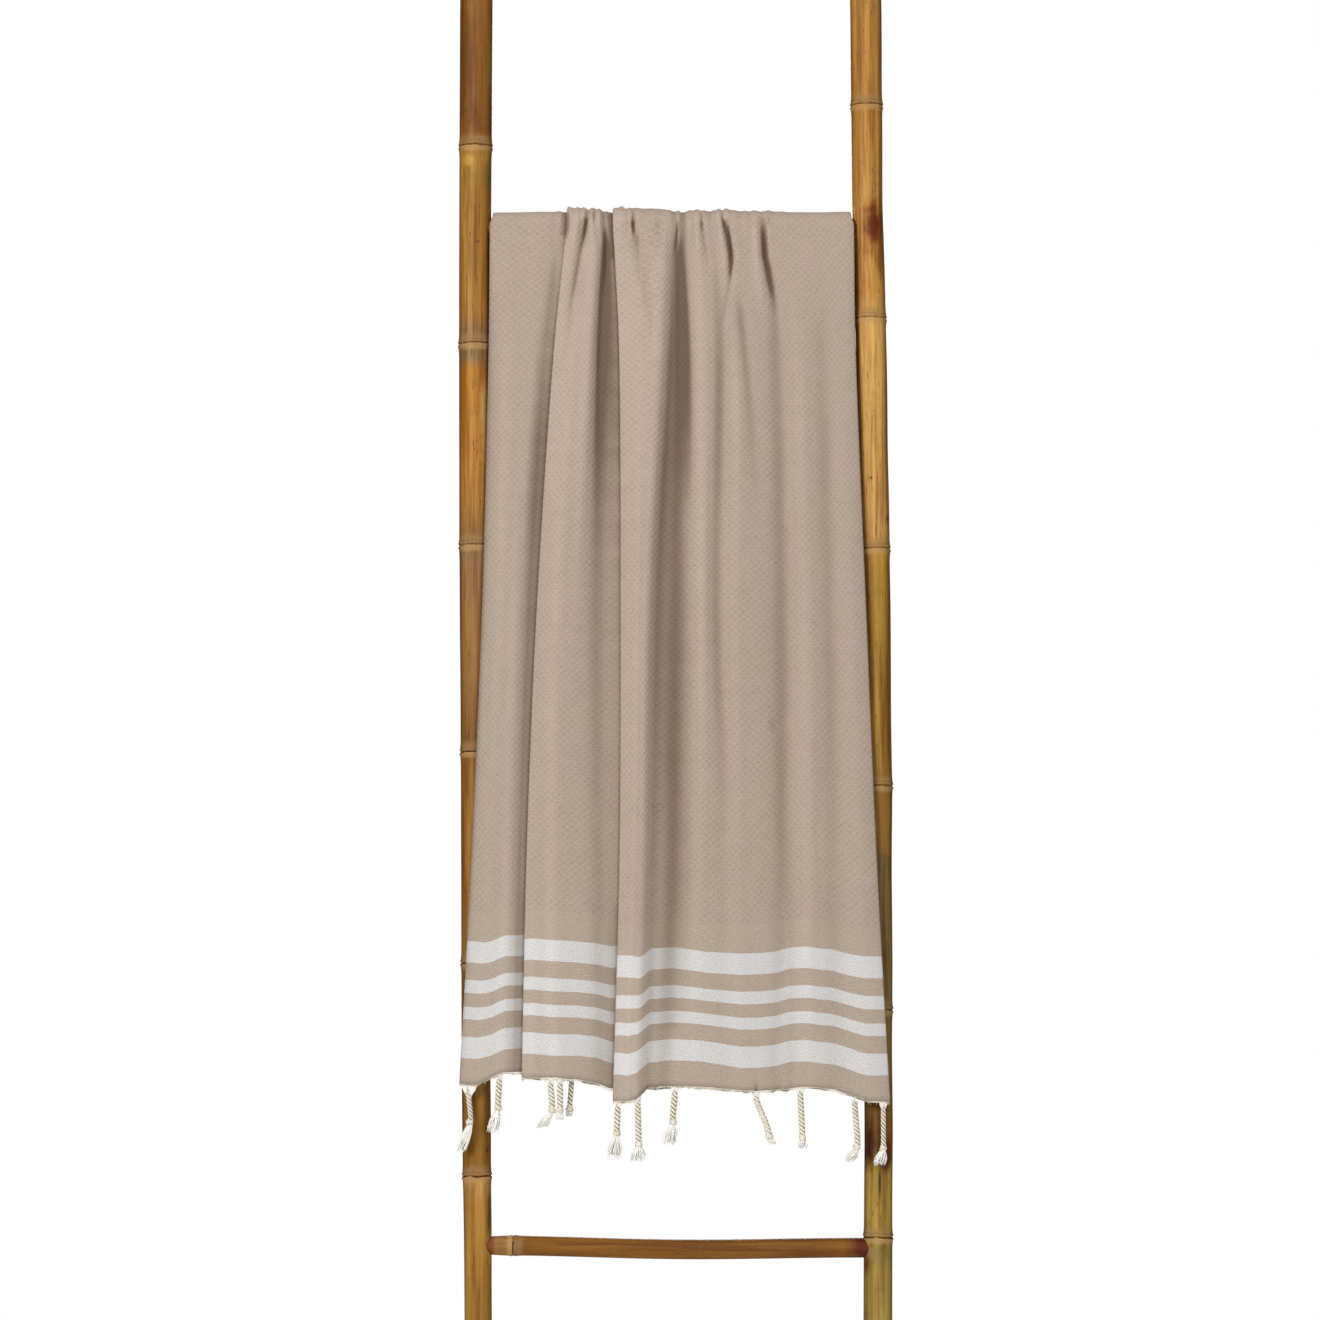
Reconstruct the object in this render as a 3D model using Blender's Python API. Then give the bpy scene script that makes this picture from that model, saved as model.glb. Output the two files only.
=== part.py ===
"""A hammam towel folded over the top rung of a leaning bamboo towel ladder.

The ladder leans 5 degrees: two bamboo poles with four rungs seated in blind sockets.
The towel is one cloth, folded once lengthwise into two layers and laid over the top
rung. Its front drop lies along the ladder with two knife pleats and soft ridges, and
its back drop hangs plumb. Each hem carries a narrow edging strip with twisted tassels.

Ladder places are (x, along, out): x to the right, along the ladder from its feet and
out of its plane towards the front. All sizes are in millimetres until world() makes
them metres. The origin is on the floor, under the middle of the whole thing.
"""
import math
from collections import namedtuple

import bmesh
import bpy
from mathutils import Vector

MM = 0.001

# The ladder
LEAN = math.radians(5.0)
SIN_LEAN = math.sin(LEAN)
COS_LEAN = math.cos(LEAN)
POLE_TOP = 1752.0
POLE_SIDES = 14
RUNG_RADIUS = 11.0
RUNG_SIDES = 12
RUNG_PITCH = 380.6
TOP_RUNG = 1442.3
SOCKET_DEPTH = 9.0
SEAT_GAP = 0.3
WALL_FLAT_DEPTH = 2.5
KNOT_RISE = 1.2
# A knot of a pole: distance up from its middle and share of its full rise
POLE_KNOT = ((-9.0, 0.0), (-2.5, 1.0), (2.5, 0.8), (10.0, 0.0))
# A knot of a rung: distances across from its middle, the inner ones raised
RUNG_KNOT = (-7.0, -2.0, 2.0, 7.0)
RUNG_KNOT_HALF = 2.5
RUNG_STATIONS = (-120.0, -40.0, 40.0, 120.0)
# How far a rung stays straight outside its sockets
RUNG_STRAIGHT = 4.0
# Cutters: the reach of a socket's bar and the sides of the block that flats a pole
SOCKET_CUTTER = 30.0
WALL_CUTTER = (80.0, 80.0, 240.0)

# Where the floor origin lies, seen from the point between the pole axes at the floor
ORIGIN_X = -1.6
ORIGIN_Y = 76.5

# The towel
CLOTH = 1.5
LAYER_PITCH = 3.0
TURN_RADIUS = 1.4
TURN_SPANS = 4
PLEAT_RUN_IN = 3.5
OVER_RUNG = 17.2
FRONT_DROP = 962.3
BACK_DROP = 860.0
BACK_TURN = math.radians(175.0)
ARC_LENGTH = OVER_RUNG * BACK_TURN
INNER_INSET = 9.0
INNER_SHORTER = 5.0
INNER_SPANS = 12
DIP_FADE = 700.0

# The fringe
STRIP_TOP = -0.6
STRIP_BOTTOM = -4.6
TASSEL_SIDES = 4
TASSEL_TWIST = math.radians(45.0)
# Where a tassel's root lies below the hem, inside the strip
TASSEL_ROOT = 2.3
# A tassel of the inner layer hangs this far back, from this far down
INNER_SET_BACK = 3.2
SET_BACK_BY = 9.0
# The tail's half width at its top, in its own spreads, and how much it draws in
TAIL_FLARE = 1.1
TAIL_DRAW_IN = 0.5

# A pole's axis and radius, up the ladder from the floor
PoleStation = namedtuple("PoleStation", "along x radius")
LEFT_POLE = (
    PoleStation(0.0, -217.0, 15.0),
    PoleStation(274.0, -218.6, 15.2),
    PoleStation(458.0, -221.2, 15.9),
    PoleStation(852.0, -223.0, 17.2),
    PoleStation(1126.0, -225.2, 17.8),
    PoleStation(1418.0, -226.3, 18.1),
    PoleStation(1752.0, -226.0, 18.5),
)
RIGHT_POLE = (
    PoleStation(0.0, 222.4, 16.0),
    PoleStation(247.0, 223.2, 15.9),
    PoleStation(432.0, 224.6, 15.6),
    PoleStation(811.0, 224.9, 16.4),
    PoleStation(1077.0, 223.4, 16.9),
    PoleStation(1338.0, 220.0, 17.2),
    PoleStation(1475.0, 217.3, 17.3),
    PoleStation(1752.0, 215.9, 17.9),
)
LEFT_KNOTS = (139.0, 379.0, 614.0, 849.0, 1081.0, 1309.0, 1535.0)
RIGHT_KNOTS = (63.0, 312.0, 562.0, 811.0, 1077.0, 1338.0, 1582.0)

# The four rungs, from the floor: height, how far each end differs, sag and its knot
Rung = namedtuple("Rung", "name along left_end right_end sag knot_x knot_rise")
RUNGS = (
    Rung("rung_lowest", TOP_RUNG - 3 * RUNG_PITCH, 2.5, 0.0, 3.0, -180.0, 0.9),
    Rung("rung_second", TOP_RUNG - 2 * RUNG_PITCH, 0.0, 1.0, 1.0, 96.0, 0.9),
    Rung("rung_third", TOP_RUNG - RUNG_PITCH, -1.0, 0.0, 1.5, -70.0, 0.9),
    Rung("rung_top", TOP_RUNG, 0.0, 0.0, 0.0, 150.0, 0.0),
)

# The outer layer's folds from its left selvedge to the lengthwise fold at its right.
# x and rise are given at the hem, low, middle and upper heights and over the rung.
# rise is the height above the flat floor of the layer, dip lowers the hem where it
# is negative, spans is the number of facets up to the next fold, and tuck is the
# overlap of a knife pleat, whose left side passes under its right side.
Fold = namedtuple("Fold", "name spans tuck x_hem x_low x_mid x_up x_rung "
                          "h_hem h_low h_mid h_up h_rung dip")
FOLDS = (
    Fold("left_selvedge", 2, 0, -238.8, -225.7, -215.5, -209.8, -209.0, 3.0, 3.0, 2.0, 1.0, 0.0, 1.0),
    Fold("left_ridge", 2, 0, -220.0, -208.0, -198.0, -191.5, -180.0, 7.0, 8.5, 9.0, 5.5, 0.5, 1.0),
    Fold("left_shoulder", 2, 0, -190.0, -184.0, -176.5, -160.0, -144.0, 8.5, 9.5, 9.5, 6.0, 0.5, 14.0),
    Fold("left_foot", 2, 0, -178.5, -173.0, -163.5, -147.0, -131.0, 2.8, 2.6, 2.4, 4.0, 0.3, 14.0),
    Fold("left_pleat", 2, 10, -168.0, -163.0, -152.3, -134.5, -120.5, 1.8, 1.8, 1.8, 3.2, 0.2, 14.0),
    Fold("middle_ridge", 2, 0, -134.0, -137.8, -132.3, -114.0, -106.0, 12.0, 13.5, 14.5, 13.5, 5.0, 8.0),
    Fold("middle_slope", 2, 0, -109.0, -112.0, -109.0, -96.0, -87.5, 8.0, 8.5, 9.5, 12.5, 3.4, 6.0),
    Fold("middle_valley", 2, 0, -85.0, -85.5, -88.0, -84.0, -79.0, 3.5, 2.0, 0.8, 0.3, 0.3, 1.0),
    Fold("centre_pleat", 2, 9, -67.5, -60.5, -59.5, -61.5, -68.5, 4.0, 4.2, 4.0, 2.0, 0.0, -4.0),
    Fold("centre_ridge", 2, 0, -54.0, -46.0, -42.0, -40.0, -44.0, 16.5, 17.5, 18.0, 14.5, 5.0, -17.5),
    Fold("centre_shoulder", 2, 0, -44.0, -37.0, -32.0, -17.5, -12.0, 14.5, 15.5, 16.0, 13.5, 3.6, -15.0),
    Fold("centre_foot", 2, 0, -32.5, -26.0, -20.5, -6.0, -4.0, 6.0, 4.5, 3.5, 3.5, 1.6, -3.0),
    Fold("centre_valley", 2, 0, -14.0, -3.0, 0.5, 5.0, 3.7, 3.0, 0.6, 0.3, 0.3, 0.2, -1.0),
    Fold("ridge_a", 2, 0, 21.5, 27.0, 30.4, 29.3, 22.5, 8.0, 11.0, 12.5, 9.5, 2.4, -1.5),
    Fold("valley_a", 2, 0, 51.6, 51.6, 45.5, 51.6, 42.0, 7.0, 7.5, 7.5, 6.2, 1.2, -4.0),
    Fold("ridge_b", 2, 0, 73.8, 69.4, 64.9, 67.2, 53.5, 7.5, 9.5, 12.0, 10.0, 3.4, -6.0),
    Fold("slope_b", 2, 0, 91.0, 92.0, 90.0, 88.0, 76.0, 5.5, 6.5, 8.0, 8.0, 1.0, -6.5),
    Fold("valley_b", 2, 0, 107.3, 117.0, 117.5, 111.7, 99.5, 4.0, 2.0, 1.5, 4.5, 1.6, -5.5),
    Fold("ridge_c", 2, 0, 145.1, 144.0, 143.8, 136.0, 125.0, 8.5, 10.0, 9.0, 7.0, 0.5, -2.0),
    Fold("valley_c", 2, 0, 174.1, 174.1, 171.9, 165.0, 158.0, 5.0, 5.0, 5.0, 3.5, 0.4, -5.0),
    Fold("ridge_d", 2, 0, 212.0, 203.1, 194.2, 185.3, 181.0, 8.0, 8.0, 7.0, 4.0, 0.8, -17.0),
    Fold("right_edge", 0, 0, 235.5, 222.2, 211.5, 201.6, 200.4, 5.0, 5.0, 4.0, 2.5, 1.0, -18.0),
)
# Heights up the cloth from the front hem where the table above gives its values
FOLD_STATIONS = (0.0, 260.0, 538.0, 820.0, FRONT_DROP)
# How far the outer layer's flat floor stands in front of the pole axes
FLOOR_STATIONS = (0.0, 340.0, 520.0, 770.0, FRONT_DROP)
FLOOR_OUT = (24.0, 23.5, 21.0, 18.0, OVER_RUNG)

# Rows of the cloth: distances up the front, angles over the rung, distances down the back
FRONT_ROWS = (0.0, 80.0, 170.0, 260.0, 350.0, 440.0, 538.0, 630.0, 720.0, 790.0, 850.0,
              895.0, 930.0, FRONT_DROP)
ARC_ROWS = (25.0, 50.0, 75.0, 100.0, 125.0, 150.0, 175.0)
BACK_ROWS = (30.0, 70.0, 130.0, 220.0, 340.0, 480.0, 620.0, 745.0, BACK_DROP)

# The back drop spreads to this width and settles into even waves
# the side edges draw in where they turn over the rung between the poles
EDGE_TUCK = 3.0
EDGE_TUCK_WITHIN = OVER_RUNG * math.radians(45.0)

BACK_LEFT = -230.0
BACK_RIGHT = 224.0
BACK_WAVES = 4.0
BACK_WAVE_RISE = 9.0
BACK_SETTLE = 420.0
BACK_DIP = 3.5
BACK_DIP_WAVES = 9.0
# How evenly the folds spread at the back, and what is left there of their rise
BACK_EVENNESS = 0.35
BACK_RISE_KEPT = 0.25

# The inner layer's hem rises, and its edge levels out, within these shares of its width
INNER_LIFT_WITHIN = 1 / 4
# how far the inner layer may dip at the right fold and, past the lift, anywhere else
INNER_DEEPEST = -30.0
INNER_DEEP = -7.0
INNER_LEVEL_WITHIN = 1 / 3

# Tassels of the front hem: place, layer, cord and tail lengths, sideways drift of the
# cord's end and of the tail's end, and the tail's half width
Tassel = namedtuple("Tassel", "x outer cord tail drift tail_drift spread girth")
FRONT_TASSELS = (
    Tassel(-229.0, True, 39.0, 30.0, 3.0, -10.0, 5.5, 0.8),
    Tassel(-194.5, True, 36.0, 24.0, -1.5, -5.0, 7.5, 1.0),
    Tassel(-138.0, True, 34.0, 17.0, 2.0, -12.0, 6.5, 1.0),
    Tassel(-127.5, True, 33.0, 9.0, 0.0, -0.5, 4.0, 1.0),
    Tassel(-115.0, False, 37.0, 7.0, -2.0, -1.0, 3.6, 0.85),
    Tassel(-64.0, True, 34.0, 26.0, -1.0, -3.0, 8.5, 1.0),
    Tassel(-42.0, True, 50.0, 17.0, 1.0, -1.5, 9.0, 1.0),
    Tassel(-1.0, True, 38.0, 22.0, -2.5, -3.0, 9.0, 1.0),
    Tassel(88.0, True, 47.0, 8.0, 14.0, 4.0, 4.5, 1.0),
    Tassel(137.0, True, 53.0, 10.0, 2.0, 0.0, 6.0, 1.0),
    Tassel(197.0, True, 54.0, 14.0, 3.0, -8.0, 7.0, 0.95),
    Tassel(228.5, True, 49.0, 17.0, 0.0, -4.0, 7.0, 0.8),
)
# Tassels of the back hem: a first place, an even pitch and mean sizes that vary a little
BACK_TASSEL_COUNT = 12
BACK_TASSEL_INSET = 16.0
BACK_TASSEL_PITCH = 38.0
BACK_CORD = 44.0
BACK_CORD_VARIES = 4.0
BACK_TAIL = 18.0
BACK_DRIFT = 2.5
BACK_TAIL_DRIFT = 3.0
BACK_SPREAD = 6.0
BACK_PHASES = (2.1, 1.7, 2.3)


def back_tassel(index):
    cord_phase, drift_phase, tail_phase = (phase * index for phase in BACK_PHASES)
    x = BACK_LEFT + BACK_TASSEL_INSET + BACK_TASSEL_PITCH * index
    cord = BACK_CORD + BACK_CORD_VARIES * math.sin(cord_phase)
    drift = BACK_DRIFT * math.sin(drift_phase)
    tail_drift = BACK_TAIL_DRIFT * math.cos(tail_phase)
    return Tassel(x, index % 3 != 1, cord, BACK_TAIL, drift, tail_drift, BACK_SPREAD, 1.0)


BACK_TASSELS = tuple(back_tassel(index) for index in range(BACK_TASSEL_COUNT))

# Rings of a tassel: share of the cord (up to 1) and of the tail (past 1), and radius
TasselRing = namedtuple("TasselRing", "share radius tail_blend")
TASSEL_RINGS = (
    TasselRing(0.0, 1.6, 0.0),
    TasselRing(0.10, 3.0, 0.0),
    TasselRing(0.28, 3.7, 0.0),
    TasselRing(0.50, 3.6, 0.0),
    TasselRing(0.72, 3.5, 0.0),
    TasselRing(0.90, 3.3, 0.0),
    TasselRing(1.00, 4.7, 0.0),
    TasselRing(1.22, 3.2, 0.2),
    TasselRing(1.65, 3.6, 0.8),
    TasselRing(2.00, 2.4, 1.0),
)
KNOT_RING = 6


def clear_scene():
    for thing in list(bpy.data.objects):
        bpy.data.objects.remove(thing, do_unlink=True)


def make_material(name, colour, roughness):
    material = bpy.data.materials.new(name)
    material.use_nodes = True
    shader = material.node_tree.nodes["Principled BSDF"]
    shader.inputs["Base Color"].default_value = (*colour, 1.0)
    shader.inputs["Roughness"].default_value = roughness
    shader.inputs["Metallic"].default_value = 0.0
    material.diffuse_color = (*colour, 1.0)
    return material


def world(x, along, out):
    """A ladder place in millimetres as a world point in metres."""
    y = along * SIN_LEAN - out * COS_LEAN
    z = along * COS_LEAN + out * SIN_LEAN
    return Vector(((x - ORIGIN_X) * MM, (y - ORIGIN_Y) * MM, z * MM))


def smooth(value):
    value = min(max(value, 0.0), 1.0)
    return value * value * (3.0 - 2.0 * value)


def blend(low, high, share):
    return low + (high - low) * share


def curve_through(stations, values, place):
    """A smooth curve through the values given at the stations."""
    place = min(max(place, stations[0]), stations[-1])
    last = len(stations) - 1
    span = max(i for i in range(last) if stations[i] <= place)

    def slope(i):
        low, high = max(i - 1, 0), min(i + 1, last)
        return (values[high] - values[low]) / (stations[high] - stations[low])

    width = stations[span + 1] - stations[span]
    t = (place - stations[span]) / width
    rise = (2 * t ** 3 - 3 * t ** 2 + 1) * values[span] + (3 * t ** 2 - 2 * t ** 3) * values[span + 1]
    lean = (t ** 3 - 2 * t ** 2 + t) * slope(span) + (t ** 3 - t ** 2) * slope(span + 1)
    return rise + lean * width


def add_object(name, mesh, material):
    mesh.materials.append(material)
    thing = bpy.data.objects.new(name, mesh)
    bpy.context.scene.collection.objects.link(thing)
    return thing


def loft(name, rings):
    """A closed body through rings of equal count, with a flat cap at each end."""
    shape = bmesh.new()
    loops = [[shape.verts.new(point) for point in ring] for ring in rings]
    for low, high in zip(loops, loops[1:]):
        count = len(low)
        for i in range(count):
            j = (i + 1) % count
            shape.faces.new((low[i], low[j], high[j], high[i]))
    shape.faces.new(list(reversed(loops[0])))
    shape.faces.new(loops[-1])
    bmesh.ops.recalc_face_normals(shape, faces=shape.faces[:])
    bmesh.ops.triangulate(shape, faces=shape.faces[:])
    mesh = bpy.data.meshes.new(name)
    shape.to_mesh(mesh)
    shape.free()
    return mesh


def shade_round(mesh):
    mesh.shade_smooth()
    mesh.set_sharp_from_angle(angle=math.radians(40.0))


def cut(thing, cutter, operation="DIFFERENCE"):
    cutter.hide_render = True
    cutter.display_type = "WIRE"
    modifier = thing.modifiers.new("cut_" + cutter.name, "BOOLEAN")
    modifier.operation = operation
    modifier.solver = "EXACT"
    modifier.object = cutter


# ---------------------------------------------------------------- ladder

def pole_axis(stations, along):
    heights = [station.along for station in stations]
    x = curve_through(heights, [station.x for station in stations], along)
    radius = curve_through(heights, [station.radius for station in stations], along)
    return x, radius


def pole_rings(stations, knots):
    """Heights up a pole with the extra radius there: each knot is a raised double ring."""
    rings = [(0.0, 0.0)]
    for knot in knots:
        rings += [(knot + offset, KNOT_RISE * share) for offset, share in POLE_KNOT]
    rings.append((POLE_TOP, 0.0))
    return rings


def make_pole(name, stations, knots, material):
    rings = []
    for along, extra in pole_rings(stations, knots):
        x, radius = pole_axis(stations, along)
        ring = []
        for side in range(POLE_SIDES):
            angle = 2 * math.pi * side / POLE_SIDES
            across = (radius + extra) * math.cos(angle)
            out = (radius + extra) * math.sin(angle)
            foot = -out * SIN_LEAN / COS_LEAN if along == 0.0 else 0.0
            ring.append(world(x + across, along + foot, out))
        rings.append(ring)
    mesh = loft(name, rings)
    shade_round(mesh)
    return add_object(name, mesh, material)


def round_bar(name, centres, radii, sides):
    """A closed bar along x through (x, along) centres in the ladder's plane."""
    rings = []
    for (x, along), radius in zip(centres, radii):
        ring = []
        for side in range(sides):
            angle = 2 * math.pi * (side + 0.5) / sides
            ring.append(world(x, along + radius * math.cos(angle), radius * math.sin(angle)))
        rings.append(ring)
    return loft(name, rings)


def rung_ends(rung):
    """(x, along) of the rung's two seated ends, inside the poles."""
    left_x, left_radius = pole_axis(LEFT_POLE, rung.along)
    right_x, right_radius = pole_axis(RIGHT_POLE, rung.along)
    left = (left_x + left_radius - SOCKET_DEPTH, rung.along + rung.left_end)
    right = (right_x - right_radius + SOCKET_DEPTH, rung.along + rung.right_end)
    return left, right


def make_rung(rung, material):
    left, right = rung_ends(rung)
    straight = SOCKET_DEPTH + RUNG_STRAIGHT
    xs = {left[0], left[0] + straight, right[0] - straight, right[0], *RUNG_STATIONS}
    xs = sorted(xs | {rung.knot_x + offset for offset in RUNG_KNOT})
    centres = []
    radii = []
    for x in xs:
        share = (x - left[0]) / (right[0] - left[0])
        line = blend(left[1], right[1], smooth(share))
        inner = min(max((x - left[0] - straight) / (right[0] - left[0] - 2 * straight), 0.0), 1.0)
        centres.append((x, line - rung.sag * math.sin(math.pi * inner) ** 2))
        near_knot = abs(x - rung.knot_x) <= RUNG_KNOT_HALF
        radii.append(RUNG_RADIUS + (rung.knot_rise if near_knot else 0.0))
    centres[0] = left
    centres[1] = (centres[1][0], left[1])
    centres[-1] = right
    centres[-2] = (centres[-2][0], right[1])
    mesh = round_bar(rung.name, centres, radii, RUNG_SIDES)
    shade_round(mesh)
    return add_object(rung.name, mesh, material)


def make_sockets(poles, material):
    """A blind socket in each pole for each rung's end, one seat gap wider and deeper."""
    for rung in RUNGS:
        for pole, (x, along), side in zip(poles, rung_ends(rung), (1.0, -1.0)):
            bottom = x - side * SEAT_GAP
            centres = sorted([(bottom, along), (bottom + side * SOCKET_CUTTER, along)])
            radii = [RUNG_RADIUS + SEAT_GAP] * 2
            name = "socket_" + rung.name + ("_left" if side > 0 else "_right")
            cut(pole, add_object(name, round_bar(name, centres, radii, RUNG_SIDES), material))


def make_wall_flats(poles, material):
    """The top of each pole is flatted at the back, plumb, where it rests on the wall."""
    stoutest = max(pole_axis(stations, POLE_TOP)[1] for stations in (LEFT_POLE, RIGHT_POLE))
    wall_y = world(0.0, POLE_TOP, -stoutest).y - WALL_FLAT_DEPTH * MM
    size = Vector(WALL_CUTTER) * MM
    for pole, stations in zip(poles, (LEFT_POLE, RIGHT_POLE)):
        top = world(pole_axis(stations, POLE_TOP)[0], POLE_TOP, 0.0)
        name = "wall_cutter_" + pole.name
        mesh = bpy.data.meshes.new(name)
        shape = bmesh.new()
        bmesh.ops.create_cube(shape, size=1.0)
        bmesh.ops.scale(shape, vec=size, verts=shape.verts[:])
        bmesh.ops.translate(shape, vec=(top.x, wall_y + size.y / 2, top.z), verts=shape.verts[:])
        shape.to_mesh(mesh)
        shape.free()
        cut(pole, add_object(name, mesh, material))


# ---------------------------------------------------------------- towel

def fold_values(fold, up, prefix):
    names = ("hem", "low", "mid", "up", "rung")
    values = [getattr(fold, prefix + "_" + name) for name in names]
    return curve_through(FOLD_STATIONS, values, up)


def section_nodes(up):
    """Each fold's (x, rise, tuck, dip) at a distance up the cloth from the front hem."""
    down_back = up - FRONT_DROP - ARC_LENGTH
    settle = smooth(down_back / BACK_SETTLE)
    tucked = EDGE_TUCK * smooth((up - FRONT_DROP) / EDGE_TUCK_WITHIN)
    first, last = FOLDS[0].x_rung, FOLDS[-1].x_rung
    nodes = []
    for index, fold in enumerate(FOLDS):
        x = fold_values(fold, up, "x")
        rise = fold_values(fold, up, "h")
        share = blend((fold.x_rung - first) / (last - first), index / (len(FOLDS) - 1), BACK_EVENNESS)
        wave = 1.0 - math.cos(2 * math.pi * BACK_WAVES * share)
        back_rise = fold.h_hem if fold.tuck == 0 else fold.h_rung
        back_rise = BACK_RISE_KEPT * back_rise + BACK_WAVE_RISE * wave / 2 * (fold.tuck == 0)
        back_dip = BACK_DIP * math.sin(BACK_DIP_WAVES * share)
        if fold is FOLDS[0]:
            x += tucked
        if fold is FOLDS[-1]:
            x -= tucked
            back_rise = fold.h_rung
        x = blend(x, blend(BACK_LEFT, BACK_RIGHT, share), settle)
        rise = blend(rise, back_rise, settle)
        dip = blend(fold.dip * (1.0 - smooth(up / DIP_FADE)), back_dip, settle)
        nodes.append((x, rise, fold.tuck, dip))
    return nodes


def knife_pleat(x, rise, tuck, under_dip, over_dip):
    """The S-turn of a pleat: out under its upper panel, back, and over again."""
    r = TURN_RADIUS
    turns = [math.pi * step / TURN_SPANS for step in range(TURN_SPANS + 1)]
    run_in = [(x - PLEAT_RUN_IN, rise, under_dip)]
    under = [(x + tuck + r * math.sin(a), rise + r - r * math.cos(a), under_dip) for a in turns]
    over = [(x - r * math.sin(a), rise + 3 * r - r * math.cos(a), over_dip) for a in turns]
    return run_in + under + over


def outer_section(nodes):
    points = []
    for index, (x, rise, tuck, dip) in enumerate(nodes):
        if tuck:
            leg = knife_pleat(x, rise, tuck, dip, nodes[index + 1][3])
        else:
            leg = [(x, rise, dip)]
        if points:
            spans = FOLDS[index - 1].spans
            start, end = points[-1], leg[0]
            for step in range(1, spans):
                share = step / spans
                eased = smooth(share)
                points.append((blend(start[0], end[0], share), blend(start[1], end[1], eased),
                               blend(start[2], end[2], eased)))
        points += leg
    return points


def inner_section(nodes):
    """From the lengthwise fold at the right back to the left, one pitch behind."""
    right_x, right_rise, _, right_dip = nodes[-1]
    turn = LAYER_PITCH / 2
    centre = right_x - turn
    points = []
    for a in (math.pi / 4, math.pi / 2, 3 * math.pi / 4):
        points.append((centre + turn * math.sin(a), right_rise - turn + turn * math.cos(a), right_dip))
    left_x = nodes[0][0] + INNER_INSET
    dips = [node[3] for node in nodes]
    for step in range(INNER_SPANS + 1):
        share = step / INNER_SPANS
        place = (1.0 - share) * (len(nodes) - 1)
        low = min(int(place), len(nodes) - 2)
        dip = blend(dips[low], dips[low + 1], place - low)
        lifted = smooth(share / INNER_LIFT_WITHIN)
        dip = max(dip, blend(INNER_DEEPEST, INNER_DEEP, lifted)) + INNER_SHORTER * lifted
        lowered = right_rise * (1.0 - smooth(share / INNER_LEVEL_WITHIN))
        points.append((blend(centre, left_x, share), lowered - LAYER_PITCH, dip))
    return points


def cloth_section(up):
    """The whole cross-section (x, rise, dip) with the outer layer first."""
    nodes = section_nodes(up)
    outer = outer_section(nodes)
    edge_x, edge_rise, edge_dip = outer[-1]
    outer[-1] = (edge_x - LAYER_PITCH / 2, edge_rise, edge_dip)
    return outer, inner_section(nodes)


def floor_frame(up):
    """The layer floor's place (along, out), outward direction and up direction."""
    if up <= FRONT_DROP:
        out = curve_through(FLOOR_STATIONS, FLOOR_OUT, up)
        return (TOP_RUNG - FRONT_DROP + up, out), (0.0, 1.0), (1.0, 0.0)
    angle = (up - FRONT_DROP) / OVER_RUNG
    if angle <= BACK_TURN:
        place = (TOP_RUNG + OVER_RUNG * math.sin(angle), OVER_RUNG * math.cos(angle))
        return place, (math.sin(angle), math.cos(angle)), (0.0, 0.0)
    down = up - FRONT_DROP - ARC_LENGTH
    start = (TOP_RUNG + OVER_RUNG * math.sin(BACK_TURN), OVER_RUNG * math.cos(BACK_TURN))
    place = (start[0] - down * COS_LEAN, start[1] - down * SIN_LEAN)
    return place, (SIN_LEAN, -COS_LEAN), (COS_LEAN, SIN_LEAN)


def on_cloth(point, up):
    x, rise, dip = point
    (along, out), normal, upward = floor_frame(up)
    along += rise * normal[0] + dip * upward[0]
    out += rise * normal[1] + dip * upward[1]
    return world(x, along, out)


def cloth_row(up):
    outer, inner = cloth_section(up)
    return [on_cloth(point, up) for point in outer + inner]


def sheet(name, ups, material):
    """One sheet of cloth through rows of its middle surface, thickened both ways."""
    shape = bmesh.new()
    rows = [[shape.verts.new(point) for point in cloth_row(up)] for up in ups]
    for low, high in zip(rows, rows[1:]):
        for i in range(len(low) - 1):
            shape.faces.new((low[i], low[i + 1], high[i + 1], high[i]))
    mesh = bpy.data.meshes.new(name)
    shape.to_mesh(mesh)
    shape.free()
    mesh.shade_smooth()
    thing = add_object(name, mesh, material)
    thickness = thing.modifiers.new("cloth_thickness", "SOLIDIFY")
    thickness.thickness = CLOTH * MM
    thickness.offset = 0.0
    thing.modifiers.new("flat_facets", "TRIANGULATE")
    return thing


def towel_rows():
    over = [FRONT_DROP + OVER_RUNG * math.radians(angle) for angle in ARC_ROWS]
    down = [FRONT_DROP + ARC_LENGTH + drop for drop in BACK_ROWS]
    return list(FRONT_ROWS) + over + down


# ---------------------------------------------------------------- fringe

def hem_place(x, outer, up):
    """The outermost point of a layer at x, as (x, rise, dip)."""
    layers = cloth_section(up)
    points = layers[0] if outer else layers[1]
    found = None
    for start, end in zip(points, points[1:]):
        if min(start[0], end[0]) <= x < max(start[0], end[0]):
            share = (x - start[0]) / (end[0] - start[0])
            place = tuple(blend(a, b, share) for a, b in zip(start, end))
            if found is None or place[1] > found[1]:
                found = place
    return found


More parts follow.
